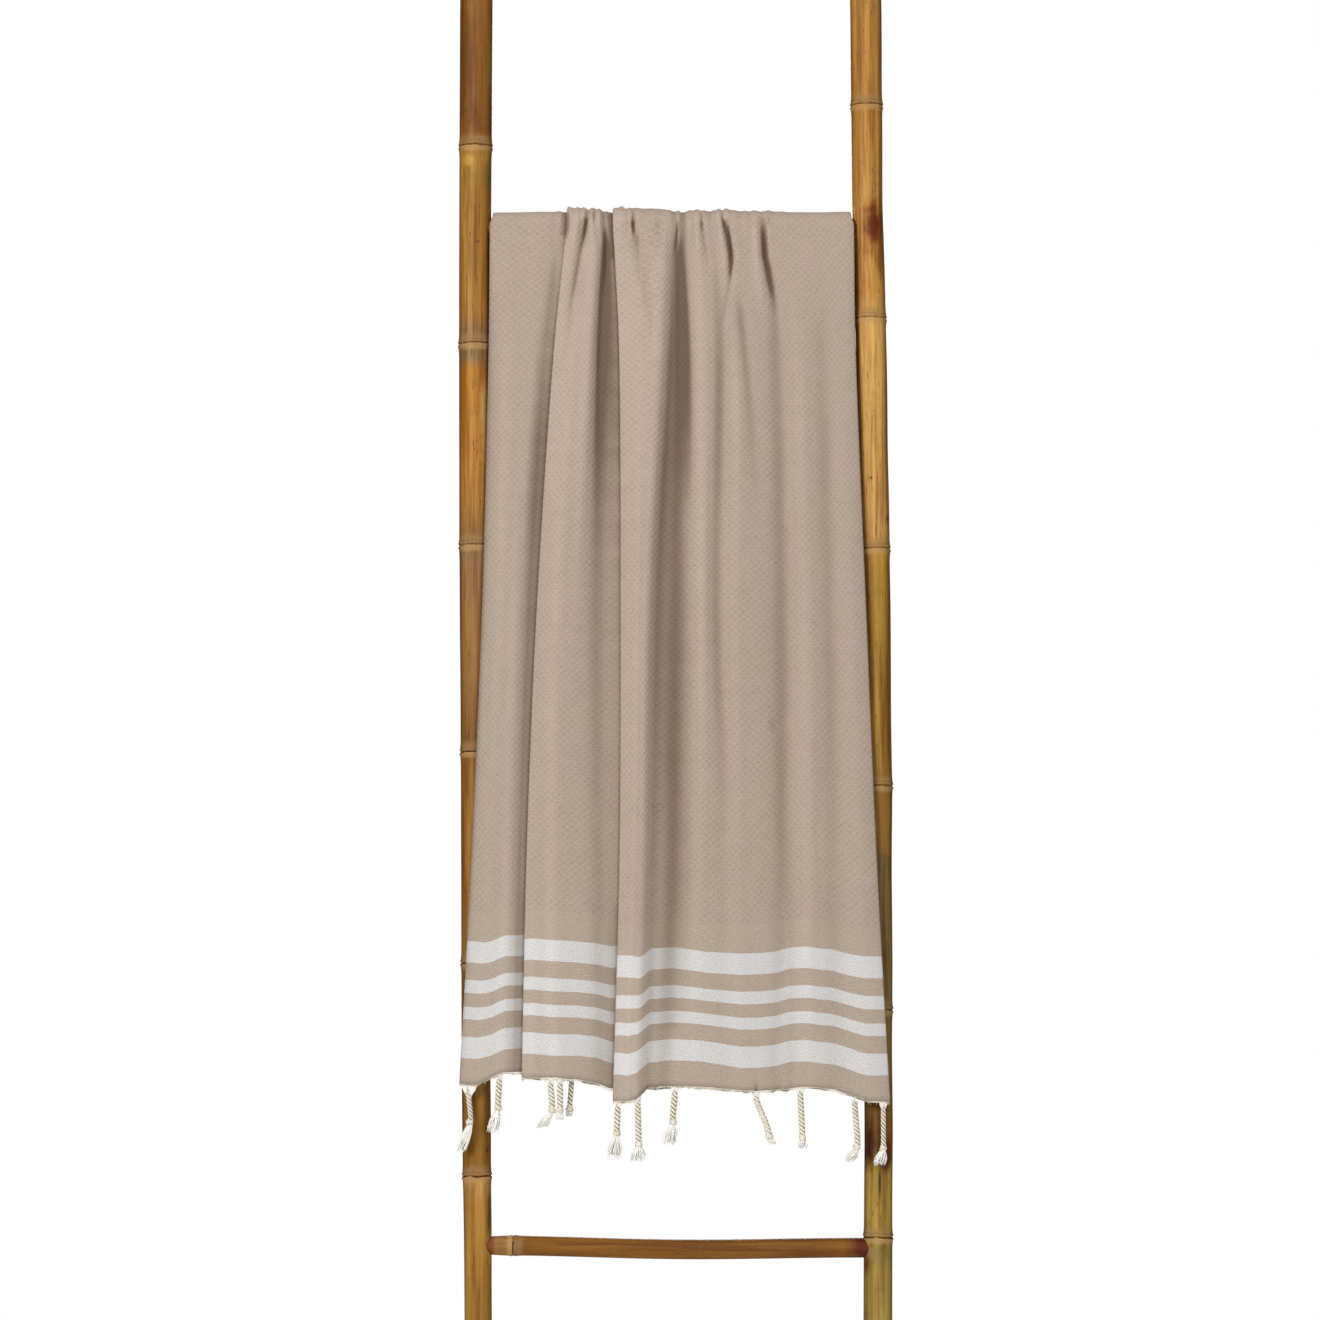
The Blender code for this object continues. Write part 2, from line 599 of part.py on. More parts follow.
def tassel_rings(tassel, hem):
    """Rings of one tassel that hangs from the hem at distance hem up the cloth."""
    x, rise, dip = hem_place(tassel.x, tassel.outer, hem)
    rings = []
    for index, ring in enumerate(TASSEL_RINGS):
        on_cord = min(ring.share, 1.0)
        on_tail = max(ring.share - 1.0, 0.0)
        length = TASSEL_ROOT + tassel.cord * on_cord + tassel.tail * on_tail
        across = x + tassel.drift * smooth(on_cord) + tassel.tail_drift * on_tail
        set_back = 0.0 if tassel.outer else INNER_SET_BACK * smooth(length / SET_BACK_BY)
        out = rise - set_back
        tail_half = tassel.spread * (TAIL_FLARE - TAIL_DRAW_IN * on_tail)
        half_wide = blend(ring.radius * tassel.girth, tail_half, ring.tail_blend)
        half_deep = ring.radius * tassel.girth
        twist = TASSEL_TWIST * min(index, KNOT_RING)
        points = []
        for side in range(TASSEL_SIDES):
            angle = 2 * math.pi * (side + 0.5) / TASSEL_SIDES + twist
            points.append(on_cloth((across + half_wide * math.cos(angle), out + half_deep * math.sin(angle),
                                    dip - length), hem))
        rings.append(points)
    return rings


def join_bodies(name, bodies):
    shape = bmesh.new()
    for rings in bodies:
        mesh = loft(name + "_part", rings)
        shape.from_mesh(mesh)
        bpy.data.meshes.remove(mesh)
    mesh = bpy.data.meshes.new(name)
    shape.to_mesh(mesh)
    shape.free()
    return mesh


def make_fringe(name, tassels, hem, below, material):
    """The edging strip below a hem, with its tassels fused to it at their roots."""
    ups = sorted((hem + below * STRIP_TOP, hem + below * STRIP_BOTTOM))
    strip = sheet(name, ups, material)
    bodies = [tassel_rings(tassel, hem) for tassel in tassels]
    roots = add_object(name + "_tassels", join_bodies(name + "_tassels", bodies), material)
    cut(strip, roots, "UNION")
    return strip


def main():
    clear_scene()
    cloth = make_material("beige_cotton", (0.479, 0.386, 0.296), 0.95)
    cream = make_material("cream_cotton_yarn", (0.80, 0.75, 0.62), 0.95)
    bamboo = make_material("bamboo_pole", (0.40, 0.21, 0.06), 0.4)
    rung_bamboo = make_material("bamboo_rung", (0.27, 0.14, 0.05), 0.45)

    poles = (
        make_pole("pole_left", LEFT_POLE, LEFT_KNOTS, bamboo),
        make_pole("pole_right", RIGHT_POLE, RIGHT_KNOTS, bamboo),
    )
    for rung in RUNGS:
        make_rung(rung, rung_bamboo)
    make_sockets(poles, bamboo)
    make_wall_flats(poles, bamboo)

    sheet("towel", towel_rows(), cloth)
    make_fringe("fringe_front", FRONT_TASSELS, 0.0, 1.0, cream)
    back_hem = FRONT_DROP + ARC_LENGTH + BACK_DROP
    make_fringe("fringe_back", BACK_TASSELS, back_hem, -1.0, cream)


main()
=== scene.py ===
# %% [markdown]
# # A hammam towel on a bamboo ladder
#
# The real thing is one flat-woven cotton towel, about 1.0 by 1.88 m, folded once lengthwise
# and laid over the top rung of a leaning bamboo ladder. The solids of towel and ladder come
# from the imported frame. This script dresses them: fine folds, weave, twisted tassels and the
# skin of the bamboo. It starts by loading the frame, which fixes every size and place.

# %% Load the frame
import math
import random
from collections import namedtuple

import bmesh
import bpy
import numpy as np
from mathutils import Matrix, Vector, noise

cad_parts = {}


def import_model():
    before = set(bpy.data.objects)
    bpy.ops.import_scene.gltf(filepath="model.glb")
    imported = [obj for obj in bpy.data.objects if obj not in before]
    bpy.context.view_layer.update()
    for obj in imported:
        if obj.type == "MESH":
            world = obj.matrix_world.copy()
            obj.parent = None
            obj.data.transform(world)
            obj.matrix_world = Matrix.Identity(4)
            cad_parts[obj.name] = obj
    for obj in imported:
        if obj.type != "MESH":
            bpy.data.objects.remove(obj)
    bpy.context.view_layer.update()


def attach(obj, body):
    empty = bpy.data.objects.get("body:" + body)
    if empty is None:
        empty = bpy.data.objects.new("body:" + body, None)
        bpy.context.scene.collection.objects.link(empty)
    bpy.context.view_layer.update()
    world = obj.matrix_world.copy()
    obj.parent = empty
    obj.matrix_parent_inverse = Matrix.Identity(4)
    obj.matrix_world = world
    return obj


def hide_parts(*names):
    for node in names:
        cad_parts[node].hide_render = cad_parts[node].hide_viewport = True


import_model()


# %% [markdown]
# ## The ladder's own places
#
# The ladder leans back by 5 degrees. Places on it are easiest to give as (x, along, out) in
# millimetres: to the right, up the ladder from its feet, and out of its plane to the front.
# One function turns such a place into a world point in metres, and another names the
# columns of the short tables that most shapes here come from.

# %% Ladder places
MM = 0.001
LEAN = math.radians(5)
SIN_LEAN = math.sin(LEAN)
COS_LEAN = math.cos(LEAN)
ORIGIN_X = -1.6
ORIGIN_Y = 76.5


def world(x, along, out):
    """Ladder places in millimetres as world points in metres; takes numbers or arrays."""
    across = (x - ORIGIN_X) * MM
    deep = (along * SIN_LEAN - out * COS_LEAN - ORIGIN_Y) * MM
    high = (along * COS_LEAN + out * SIN_LEAN) * MM
    return np.stack(np.broadcast_arrays(across, deep, high), axis=-1)


def table(kind, *rows):
    return [kind(*row) for row in rows]


def add_object(name, data):
    made = bpy.data.objects.new(name, data)
    bpy.context.scene.collection.objects.link(made)
    return made


print("top rung's axis:", world(0.0, 1442.3, 0.0).round(4))

# %% [markdown]
# ## Camera, light and floor
#
# The photograph looks straight at the ladder from chest height, with even light and a
# background burnt out to white. Here the background is a white world that only the camera
# sees at full strength, and soft boxes do the lighting, the strongest of them high on the
# left. Light from the front keeps the bamboo's middle bright, and painted shade down the
# sides of the poles keeps their edges dark, as in the photograph. The pale floor melts into
# the white before it reaches the edge of its disc.

# %% Camera
VIEW_DISTANCE = 4.5
VIEW_HALF_SIDE = 0.739
EYE = (-0.0159, -4.4935, 0.9491)

lens = bpy.data.cameras.new("camera")
lens.sensor_fit = "HORIZONTAL"
lens.angle = 2 * math.atan(VIEW_HALF_SIDE / VIEW_DISTANCE)
camera = add_object("camera", lens)
camera.location = EYE
camera.rotation_euler = (math.pi / 2, 0.0, 0.0)
bpy.context.scene.camera = camera
bpy.context.scene.view_settings.view_transform = "Standard"
print("camera angle:", round(math.degrees(lens.angle), 2), "degrees")

# %% [markdown]
# ## A small kit for node trees
#
# Shader and geometry trees are written as Python. `Graph.node` adds any node, with what its
# sockets get and its settings. A `Value` wraps a socket, and sums on it add Math nodes, so a
# mask reads like a formula.

# %% Graph and Value
class Value:
    """One socket of a graph. Arithmetic on it adds Math nodes to the same graph."""

    def __init__(self, graph, socket):
        self.graph = graph
        self.socket = socket

    def maths(self, operation, *others):
        inputs = dict(enumerate((self, *others)))
        return self.graph.node("ShaderNodeMath", inputs, operation=operation)

    def twin(self, name):
        """Another output of the same node."""
        return Value(self.graph, self.socket.node.outputs[name])

    def __add__(self, other):
        return self.maths("ADD", other)

    def __sub__(self, other):
        return self.maths("SUBTRACT", other)

    def __rsub__(self, other):
        return self.graph.node("ShaderNodeMath", {0: other, 1: self}, operation="SUBTRACT")

    def __mul__(self, other):
        return self.maths("MULTIPLY", other)

    def __truediv__(self, other):
        return self.maths("DIVIDE", other)

    def __abs__(self):
        return self.maths("ABSOLUTE")

    __radd__ = __add__
    __rmul__ = __mul__

    def between(self, low, high):
        """0 up to low, 1 from high on, and a smooth step in between; high may lie below low."""
        inputs = {0: self, 1: low, 2: high}
        return self.graph.node("ShaderNodeMapRange", inputs, interpolation_type="SMOOTHSTEP")


class Graph:
    """A node tree in the making."""

    def __init__(self, tree):
        self.tree = tree

    def feed(self, socket, value):
        if isinstance(value, Value):
            self.tree.links.new(value.socket, socket)
        else:
            socket.default_value = value

    def node(self, kind, inputs=(), output=0, **settings):
        made = self.tree.nodes.new(kind)
        for name, value in settings.items():
            setattr(made, name, value)
        for name, value in dict(inputs).items():
            self.feed(made.inputs[name], value)
        return Value(self, made.outputs[output])

    def vectors(self, operation, *values, output=0):
        return self.node("ShaderNodeVectorMath", dict(enumerate(values)), output, operation=operation)


def dye(red, green, blue):
    """A colour as the eye reads it, 0 to 255, in the renderer's linear light."""
    linear = [((c / 255 + 0.055) / 1.055) ** 2.4 if c > 10 else c / 255 / 12.92 for c in (red, green, blue)]
    return (*linear, 1.0)


print("mid grey:", [round(c, 3) for c in dye(128, 128, 128)])

# %% [markdown]
# A finish is a material: its graph ends in the Principled shader that every new material
# has. Colours are mixed through Mix nodes, because a Math node would turn them grey. A wash
# lays a colour over another where a mask runs from one edge to the other, and a tint
# multiplies it instead.

# %% Finish
class Finish(Graph):
    """A material in the making."""

    def __init__(self, name, roughness, specular):
        self.material = bpy.data.materials.new(name)
        self.material.use_nodes = True
        super().__init__(self.material.node_tree)
        self.shader = self.tree.nodes["Principled BSDF"]
        self.set("Roughness", roughness)
        self.set("Specular IOR Level", specular)

    def set(self, name, value):
        self.feed(self.shader.inputs[name], value)

    def place(self):
        return self.node("ShaderNodeTexCoord", output="Object")

    def carried(self, name):
        """A number that the points of the mesh carry."""
        return self.node("ShaderNodeAttribute", output="Fac", attribute_name=name)

    def mix(self, share, base, over, blend_type="MIX"):
        """Lays one colour over another by a share from 0 to 1."""
        inputs = {0: share, 6: base, 7: over}
        return self.node("ShaderNodeMix", inputs, 2, data_type="RGBA", blend_type=blend_type)

    def wash(self, base, mask, low, high, share, colour):
        return self.mix(mask.between(low, high) * share, base, colour)

    def tint(self, base, mask, low, high, share, tone):
        return self.mix(mask.between(low, high) * share, base, (*tone, 1.0), "MULTIPLY")

    def ramp(self, place, stops, interpolation="LINEAR"):
        """A colour ramp with its stops given as (place, colour)."""
        made = self.node("ShaderNodeValToRGB", {0: place})
        bar = made.socket.node.color_ramp
        bar.interpolation = interpolation
        bar.elements.remove(bar.elements[1])
        for index, (at, colour) in enumerate(stops):
            element = bar.elements.new(at) if index else bar.elements[0]
            element.position = at
            element.color = colour
        return made

    def grain(self, vector, scale, detail, roughness=0.5):
        inputs = {"Vector": vector, "Scale": scale, "Detail": detail, "Roughness": roughness}
        return self.node("ShaderNodeTexNoise", inputs)

    def stretched(self, vector, *factors):
        return self.vectors("MULTIPLY", vector, factors)

    def relief(self, height, depth):
        """Raises the surface by height, 0 to 1, times a depth in metres."""
        inputs = {"Height": height, "Distance": depth, "Strength": 1.0}
        self.set("Normal", self.node("ShaderNodeBump", inputs))


print("finish kit ready")

# %% [markdown]
# The floor is a plain pale disc. Its finish mixes matt white into plain glow by the distance
# from its middle, so it has no visible rim.

# %% Floor, world and soft boxes
FLOOR_RADIUS = 1.2
CLEAR_RADIUS = 0.55
FLOOR_SUNK = 0.0005
WHITE = (1.0, 1.0, 1.0, 1.0)
BLACK = (0.0, 0.0, 0.0, 1.0)
ROOM_LIGHT = 0.14

room = bpy.data.worlds.new("white_room")
room.use_nodes = True
bpy.context.scene.world = room
air = Graph(room.node_tree)
lit = air.node("ShaderNodeBackground", {"Color": WHITE, "Strength": ROOM_LIGHT})
seen = air.node("ShaderNodeBackground", {"Color": WHITE, "Strength": 1.0})
first_look = air.node("ShaderNodeLightPath", output="Is Camera Ray")
both = air.node("ShaderNodeMixShader", {0: first_look, 1: lit, 2: seen})
air.feed(room.node_tree.nodes["World Output"].inputs["Surface"], both)

pale = Finish("pale_floor", 0.9, 0.2)
spot = pale.place()
reach = pale.vectors("LENGTH", spot, output=1).between(CLEAR_RADIUS, FLOOR_RADIUS)
pale.set("Base Color", pale.mix(pale.grain(spot, 6.0, 3.0), dye(238, 237, 235), dye(246, 245, 243)))
glow = pale.node("ShaderNodeEmission", {"Color": WHITE, "Strength": 1.0})
matt = Value(pale, pale.shader.outputs[0])
melted = pale.node("ShaderNodeMixShader", {0: reach, 1: matt, 2: glow})
pale.feed(pale.tree.nodes["Material Output"].inputs["Surface"], melted)

disc = bmesh.new()
bmesh.ops.create_circle(disc, cap_ends=True, cap_tris=True, segments=96, radius=FLOOR_RADIUS)
floor_mesh = bpy.data.meshes.new("floor")
disc.to_mesh(floor_mesh)
disc.free()
floor_mesh.materials.append(pale.material)
floor = add_object("floor", floor_mesh)
floor.location = (0.0, 0.0, -FLOOR_SUNK)

SoftBox = namedtuple("SoftBox", "name place aim side watts")
SOFT_BOXES = table(
    SoftBox,
    ("key_box", (-2.0, -3.5, 2.4), (0.0, 0.0, 1.0), 1.4, 118.0),
    ("fill_box", (1.7, -4.0, 1.5), (0.0, 0.0, 0.95), 1.8, 52.0),
    ("top_box", (0.2, -0.9, 3.4), (0.0, 0.0, 0.8), 1.8, 16.0),
    ("back_box", (0.0, 4.2, 1.8), (0.0, 0.0, 0.9), 1.6, 80.0),
)
for box in SOFT_BOXES:
    light = bpy.data.lights.new(box.name, "AREA")
    light.size = box.side
    light.energy = box.watts
    lamp = add_object(box.name, light)
    lamp.location = box.place
    aim = Vector(box.aim) - Vector(box.place)
    lamp.rotation_euler = aim.to_track_quat("-Z", "Y").to_euler()
print("soft boxes:", [box.name for box in SOFT_BOXES])

# %% [markdown]
# ## Curves through a few values
#
# Poles, folds and creases all follow short tables of values at named heights. One smooth
# curve goes through each of them, the same one that shapes the solids.

# %% Smooth curves
def smooth(value):
    value = np.clip(value, 0.0, 1.0)
    return value * value * (3.0 - 2.0 * value)


def blend(low, high, share):
    return low + (high - low) * share


def curve_step(t, start, end, start_slope, end_slope):
    """A smooth step from start to end, by t from 0 to 1, leaving and arriving at the slopes."""
    rise = (2 * t ** 3 - 3 * t ** 2 + 1) * start + (3 * t ** 2 - 2 * t ** 3) * end
    return rise + (t ** 3 - 2 * t ** 2 + t) * start_slope + (t ** 3 - t ** 2) * end_slope


def curve_through(stations, values, place):
    """A smooth curve through the values given at the stations."""
    place = min(max(place, stations[0]), stations[-1])
    last = len(stations) - 1
    span = max(i for i in range(last) if stations[i] <= place)
    width = stations[span + 1] - stations[span]

    def slope(i):
        low, high = max(i - 1, 0), min(i + 1, last)
        return (values[high] - values[low]) / (stations[high] - stations[low]) * width

    t = (place - stations[span]) / width
    return curve_step(t, values[span], values[span + 1], slope(span), slope(span + 1))


print("half way:", round(curve_through((0, 10, 20), (0, 5, 20), 15), 2))

# %% [markdown]
# ## Bamboo poles
#
# A bamboo pole is a slightly crooked culm, ringed by a knot every 230 to 260 mm. A knot has
# a thin scar with a lip above and below it, on a soft swelling. The path of each pole is a
# line of points that carry the culm's radius and the distance to the nearest knot. A
# geometry tree sweeps a circle along such a path, so poles and rungs grow from one rule.

# %% The culm tree
def geometry_tree(name, **sizes):
    """A new geometry tree with named inputs, and the values of those inputs."""
    tree = bpy.data.node_groups.new(name, "GeometryNodeTree")
    tree.interface.new_socket("Geometry", in_out="OUTPUT", socket_type="NodeSocketGeometry")
    sizes = {"Geometry": "Geometry", **sizes}
    for size, kind in sizes.items():
        tree.interface.new_socket(size, in_out="INPUT", socket_type="NodeSocket" + kind)
    graph = Graph(tree)
    first = graph.node("NodeGroupInput")
    return graph, {size: first.twin(size) for size in sizes}


def finish_tree(graph, geometry, finish):
    """Every tree ends alike: smooth faces, real geometry and its material."""
    smoothed = graph.node("GeometryNodeSetShadeSmooth", {"Geometry": geometry})
    real = graph.node("GeometryNodeRealizeInstances", {"Geometry": smoothed})
    dressed = graph.node("GeometryNodeSetMaterial", {"Geometry": real, "Material": finish})
    out = graph.tree.nodes.new("NodeGroupOutput")
    graph.feed(out.inputs[0], dressed)
    return graph.tree


def swept(graph, path, sides, radius, scale=1.0):
    """A round section swept along a path."""
    ring = graph.node("GeometryNodeCurvePrimitiveCircle", {"Resolution": sides, "Radius": radius})
    inputs = {"Curve": path, "Profile Curve": ring, "Scale": scale, "Fill Caps": True}
    return graph.node("GeometryNodeCurveToMesh", inputs)


def stored(graph, geometry, name, value, kind="FLOAT"):
    inputs = {"Geometry": geometry, "Name": name, "Value": value}
    return graph.node("GeometryNodeStoreNamedAttribute", inputs, data_type=kind)


def recalled(graph, name, kind="FLOAT"):
    return graph.node("GeometryNodeInputNamedAttribute", {"Name": name}, data_type=kind)


def culm_tree():
    graph, given = geometry_tree("culm", Sides="Int", Finish="Material")
    path = graph.node("GeometryNodeMeshToCurve", {"Mesh": given["Geometry"]})
    culm = swept(graph, path, given["Sides"], 1.0, recalled(graph, "radius"))
    # The flank, how far a point faces sideways, is what the painted shade down the sides of the poles
    # reads.
    facing = graph.node("ShaderNodeSeparateXYZ", {0: graph.node("GeometryNodeInputNormal")})
    return finish_tree(graph, stored(graph, culm, "flank", facing), given["Finish"])


def carry(mesh, name, values):
    """Gives each point of a mesh a number, for trees and finishes to read."""
    made = mesh.attributes.new(name, "FLOAT", "POINT")
    made.data.foreach_set("value", np.asarray(values, np.float32))


def path_mesh(name, paths, **numbers):
    """Loose lines through points, each point with its own numbers."""
    edges = []
    start = 0
    for path in paths:
        edges += [(start + i, start + i + 1) for i in range(len(path) - 1)]
        start += len(path)
    mesh = bpy.data.meshes.new(name)
    mesh.from_pydata(np.concatenate(paths).tolist(), edges, [])
    for number, values in numbers.items():
        carry(mesh, number, values)
    return mesh


def baked(thing):
    """The plain mesh that an object's modifiers make."""
    evaluated = thing.evaluated_get(bpy.context.evaluated_depsgraph_get())
    return bpy.data.meshes.new_from_object(evaluated)


def grow(name, tree, mesh, **inputs):
    """Runs a geometry tree on a mesh and returns the plain result as a new object."""
    seed = add_object(name + "_seed", mesh)
    modifier = seed.modifiers.new(tree.name, "NODES")
    modifier.node_group = tree
    sockets = {item.name: item.identifier for item in tree.interface.items_tree if item.in_out == "INPUT"}
    for label, value in inputs.items():
        modifier[sockets[label]] = value
    grown = baked(seed)
    bpy.data.objects.remove(seed)
    return add_object(name, grown)


def hand_over(piece, node):
    """Ties a finished piece to its body, hides the solid it stands for and prints its triangles."""
    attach(piece, "root")
    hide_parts(node)
    triangles = sum(len(face.vertices) - 2 for face in piece.data.polygons)
    print(piece.name, "-", triangles, "triangles")


CULM = culm_tree()
print("culm tree:", len(CULM.nodes), "nodes")

# %% [markdown]
# The tables below are the same driving sizes as the solids': axis and radius up each pole,
# the heights of the knots, and the four rungs with their seats in the poles.

# %% Ladder sizes
POLE_TOP = 1752.0
POLE_FACETS = 56
RUNG_RADIUS = 11.0
RUNG_FACETS = 40
RUNG_PITCH = 380.6
TOP_RUNG = 1442.3
SOCKET_DEPTH = 9.0
SEAT_GAP = 0.3

PoleStation = namedtuple("PoleStation", "along x radius")
LEFT_POLE = table(
    PoleStation,
    (0, -217, 15), (274, -218.6, 15.2), (458, -221.2, 15.9), (852, -223, 17.2),
    (1126, -225.2, 17.8), (1418, -226.3, 18.1), (1752, -226, 18.5),
)
RIGHT_POLE = table(
    PoleStation,
    (0, 222.4, 16), (247, 223.2, 15.9), (432, 224.6, 15.6), (811, 224.9, 16.4),
    (1077, 223.4, 16.9), (1338, 220, 17.2), (1475, 217.3, 17.3), (1752, 215.9, 17.9),
)
LEFT_KNOTS = (139, 379, 614, 849, 1081, 1309, 1535)
RIGHT_KNOTS = (63, 312, 562, 811, 1077, 1338, 1582)

Rung = namedtuple("Rung", "name along left_end right_end sag knot_x")
RUNGS = table(
    Rung,
    ("rung_lowest", TOP_RUNG - 3 * RUNG_PITCH, 2.5, 0.0, 3.0, -180.0),
    ("rung_second", TOP_RUNG - 2 * RUNG_PITCH, 0.0, 1.0, 1.0, 96.0),
    ("rung_third", TOP_RUNG - RUNG_PITCH, -1.0, 0.0, 1.5, -70.0),
    ("rung_top", TOP_RUNG, 0.0, 0.0, 0.0, 150.0),
)
print("rungs at", [round(rung.along, 1) for rung in RUNGS], "mm up the ladder")

# %% [markdown]
# The skin of a knot is drawn by four bell curves: the soft swelling, the lip above, the scar
# and the lip below. Rows of points lie close together there and far apart between knots.

# %% Knot profile and pole paths
Bell = namedtuple("Bell", "offset width rise")
KNOT_BELLS = table(Bell, (0.5, 7.5, 0.75), (2.6, 1.3, 0.55), (0.6, 0.8, -0.95), (-1.8, 1.5, 0.6))
KNOT_REACH = 16.0
FINE_STEP = 0.7
PLAIN_STEP = 20.0
WANDER_LENGTH = 95.0
WANDER_ASIDE = 0.5
WANDER_OUT = 0.8


def knot_rise(distance):
    return sum(b.rise * np.exp(-((distance - b.offset) / b.width) ** 2) for b in KNOT_BELLS)


def culm_places(start, end, knots):
    """Distances along a culm, close together at its knots."""
    places = set(np.linspace(start, end, int((end - start) / PLAIN_STEP) + 1).round(2))
    for knot in knots:
        places |= set(np.arange(knot - KNOT_REACH, knot + KNOT_REACH, FINE_STEP).round(2))
    return np.array(sorted(p for p in places if start <= p <= end))


def from_knot(places, knots):
    """Signed distance to the nearest knot, in millimetres."""
    gaps = places[:, None] - np.array(knots)[None, :]
    return gaps[np.arange(len(places)), np.abs(gaps).argmin(axis=1)]


def knot_numbers(distance):
    """What the finish needs to know of the nearest knot: how far it is, and whether it is near."""
    near = 1.0 - smooth((np.abs(distance) - KNOT_REACH) / KNOT_REACH)
    return {"from_knot": distance * MM, "near_knot": near}


def pole_axis(stations, along):
    """A pole's x and radius at a distance up the ladder."""
    heights, x, radius = zip(*stations)
    return curve_through(heights, x, along), curve_through(heights, radius, along)


def wander(place, seed, size):
    """A gentle, repeatable unevenness along a culm."""
    return size * noise.noise(Vector((place / WANDER_LENGTH, seed, 0.0)))


def pole_path(stations, knots, seed):
    places = culm_places(0.0, POLE_TOP, knots)
    axis = np.array([pole_axis(stations, along) for along in places])
    uneven = np.array([(wander(p, seed, WANDER_ASIDE), wander(p, seed + 9.0, WANDER_OUT)) for p in places])
    distance = from_knot(places, knots)
    radius = (axis[:, 1] + uneven[:, 0] * 0.5 + knot_rise(distance)) * MM
    points = world(axis[:, 0] + uneven[:, 0], places, uneven[:, 1])
    return points, {"radius": radius, **knot_numbers(distance)}


print("knot lip stands", round(float(knot_rise(3.0)), 2), "mm proud")

# %% [markdown]
# ## The skin of the bamboo
#
# Old golden bamboo is never one colour. It changes tone from one stretch to the next, has
# streaks along its fibres, and greyish, stippled bands above its knots. The finish reads the
# Object coordinates turned into the ladder's own axes, so that streaks run along the pole,
# and the stretch tones are a ramp up the ladder. Scorch marks are soft blobs at set places.
# On the poles it also paints shade down both sides, where the culm turns away from the front.

# %% Bamboo finish
STREAK_STRETCH = 0.035
FLECK_STRETCH = 0.14
RAGGED_REACH = 3.0
PLAIN_SCAR = 0.9
# The tone of the painted shade down the sides of the poles.
FLANK_SHADE_TONE = (0.50, 0.33, 0.19)
Scorch = namedtuple("Scorch", "x along wide tall strength colour")


def ladder_place(finish):
    """Object coordinates turned into (x, -out, along), in metres."""
    origin = (ORIGIN_X * MM, ORIGIN_Y * COS_LEAN * MM, ORIGIN_Y * SIN_LEAN * MM)
    inputs = {"Vector": finish.place(), "Location": origin, "Rotation": (LEAN, 0.0, 0.0)}
    return finish.node("ShaderNodeMapping", inputs, vector_type="POINT")


def scorched(skin, place, tone, scorch, ragged):
    """Lays a soft, ragged blob over the tone on the front of a culm."""
    centre = (scorch.x * MM, 0.0, scorch.along * MM)
    away = skin.vectors("SUBTRACT", place, centre)
    scaled = skin.stretched(away, 1 / (scorch.wide * MM), 0.0, 1 / (scorch.tall * MM))
    far = skin.vectors("LENGTH", scaled, output=1) + (ragged - 0.5) * RAGGED_REACH
    return skin.wash(tone, far, 1.15, 0.25, scorch.strength, dye(*scorch.colour))


def knot_marks(skin, place, tone, scars):
    """Lays the marks of the knots over a tone; returns it with the mask of the stippled band."""
    near = skin.carried("near_knot")
    stipple = skin.grain(skin.stretched(place, 1.0, 1.0, 2.2), 520.0, 3.0, 0.7)
    ragged = skin.grain(place, 95.0, 3.0, 0.6)
    height = skin.carried("from_knot") * 1000.0 + (ragged - 0.5) * 4.5
    band = height.between(0.0, 1.4) * height.between(15.0, 6.0) * near
    tone = skin.mix(band * 0.6, tone, dye(166, 130, 86))
    tone = skin.mix(band * stipple.between(0.52, 0.66) * 0.6, tone, dye(88, 60, 30))
    below = height.between(-9.0, -4.0) * height.between(0.2, -1.4) * near
    tone = skin.mix(below * 0.62, tone, dye(192, 150, 98))
    ring = abs(height - 4.6).between(0.9, 0.2) * near
    tone = skin.mix(ring * 0.45, tone, dye(112, 76, 40))
    scar = abs(height - 0.3).between(1.3, 0.35) * ragged.between(0.3, 0.5) * near
    return skin.mix(scar * scars, tone, dye(44, 24, 10)), band


def stops(reach, rows):
    """Rows of (place, red, green, blue) or (place, share) as ramp stops from 0 to 1."""
    made = []
    for place, *tone in rows:
        colour = dye(*tone) if len(tone) == 3 else (*tone * 3, 1.0)
        made.append(((place - reach[0]) / (reach[1] - reach[0]), colour))
    return made


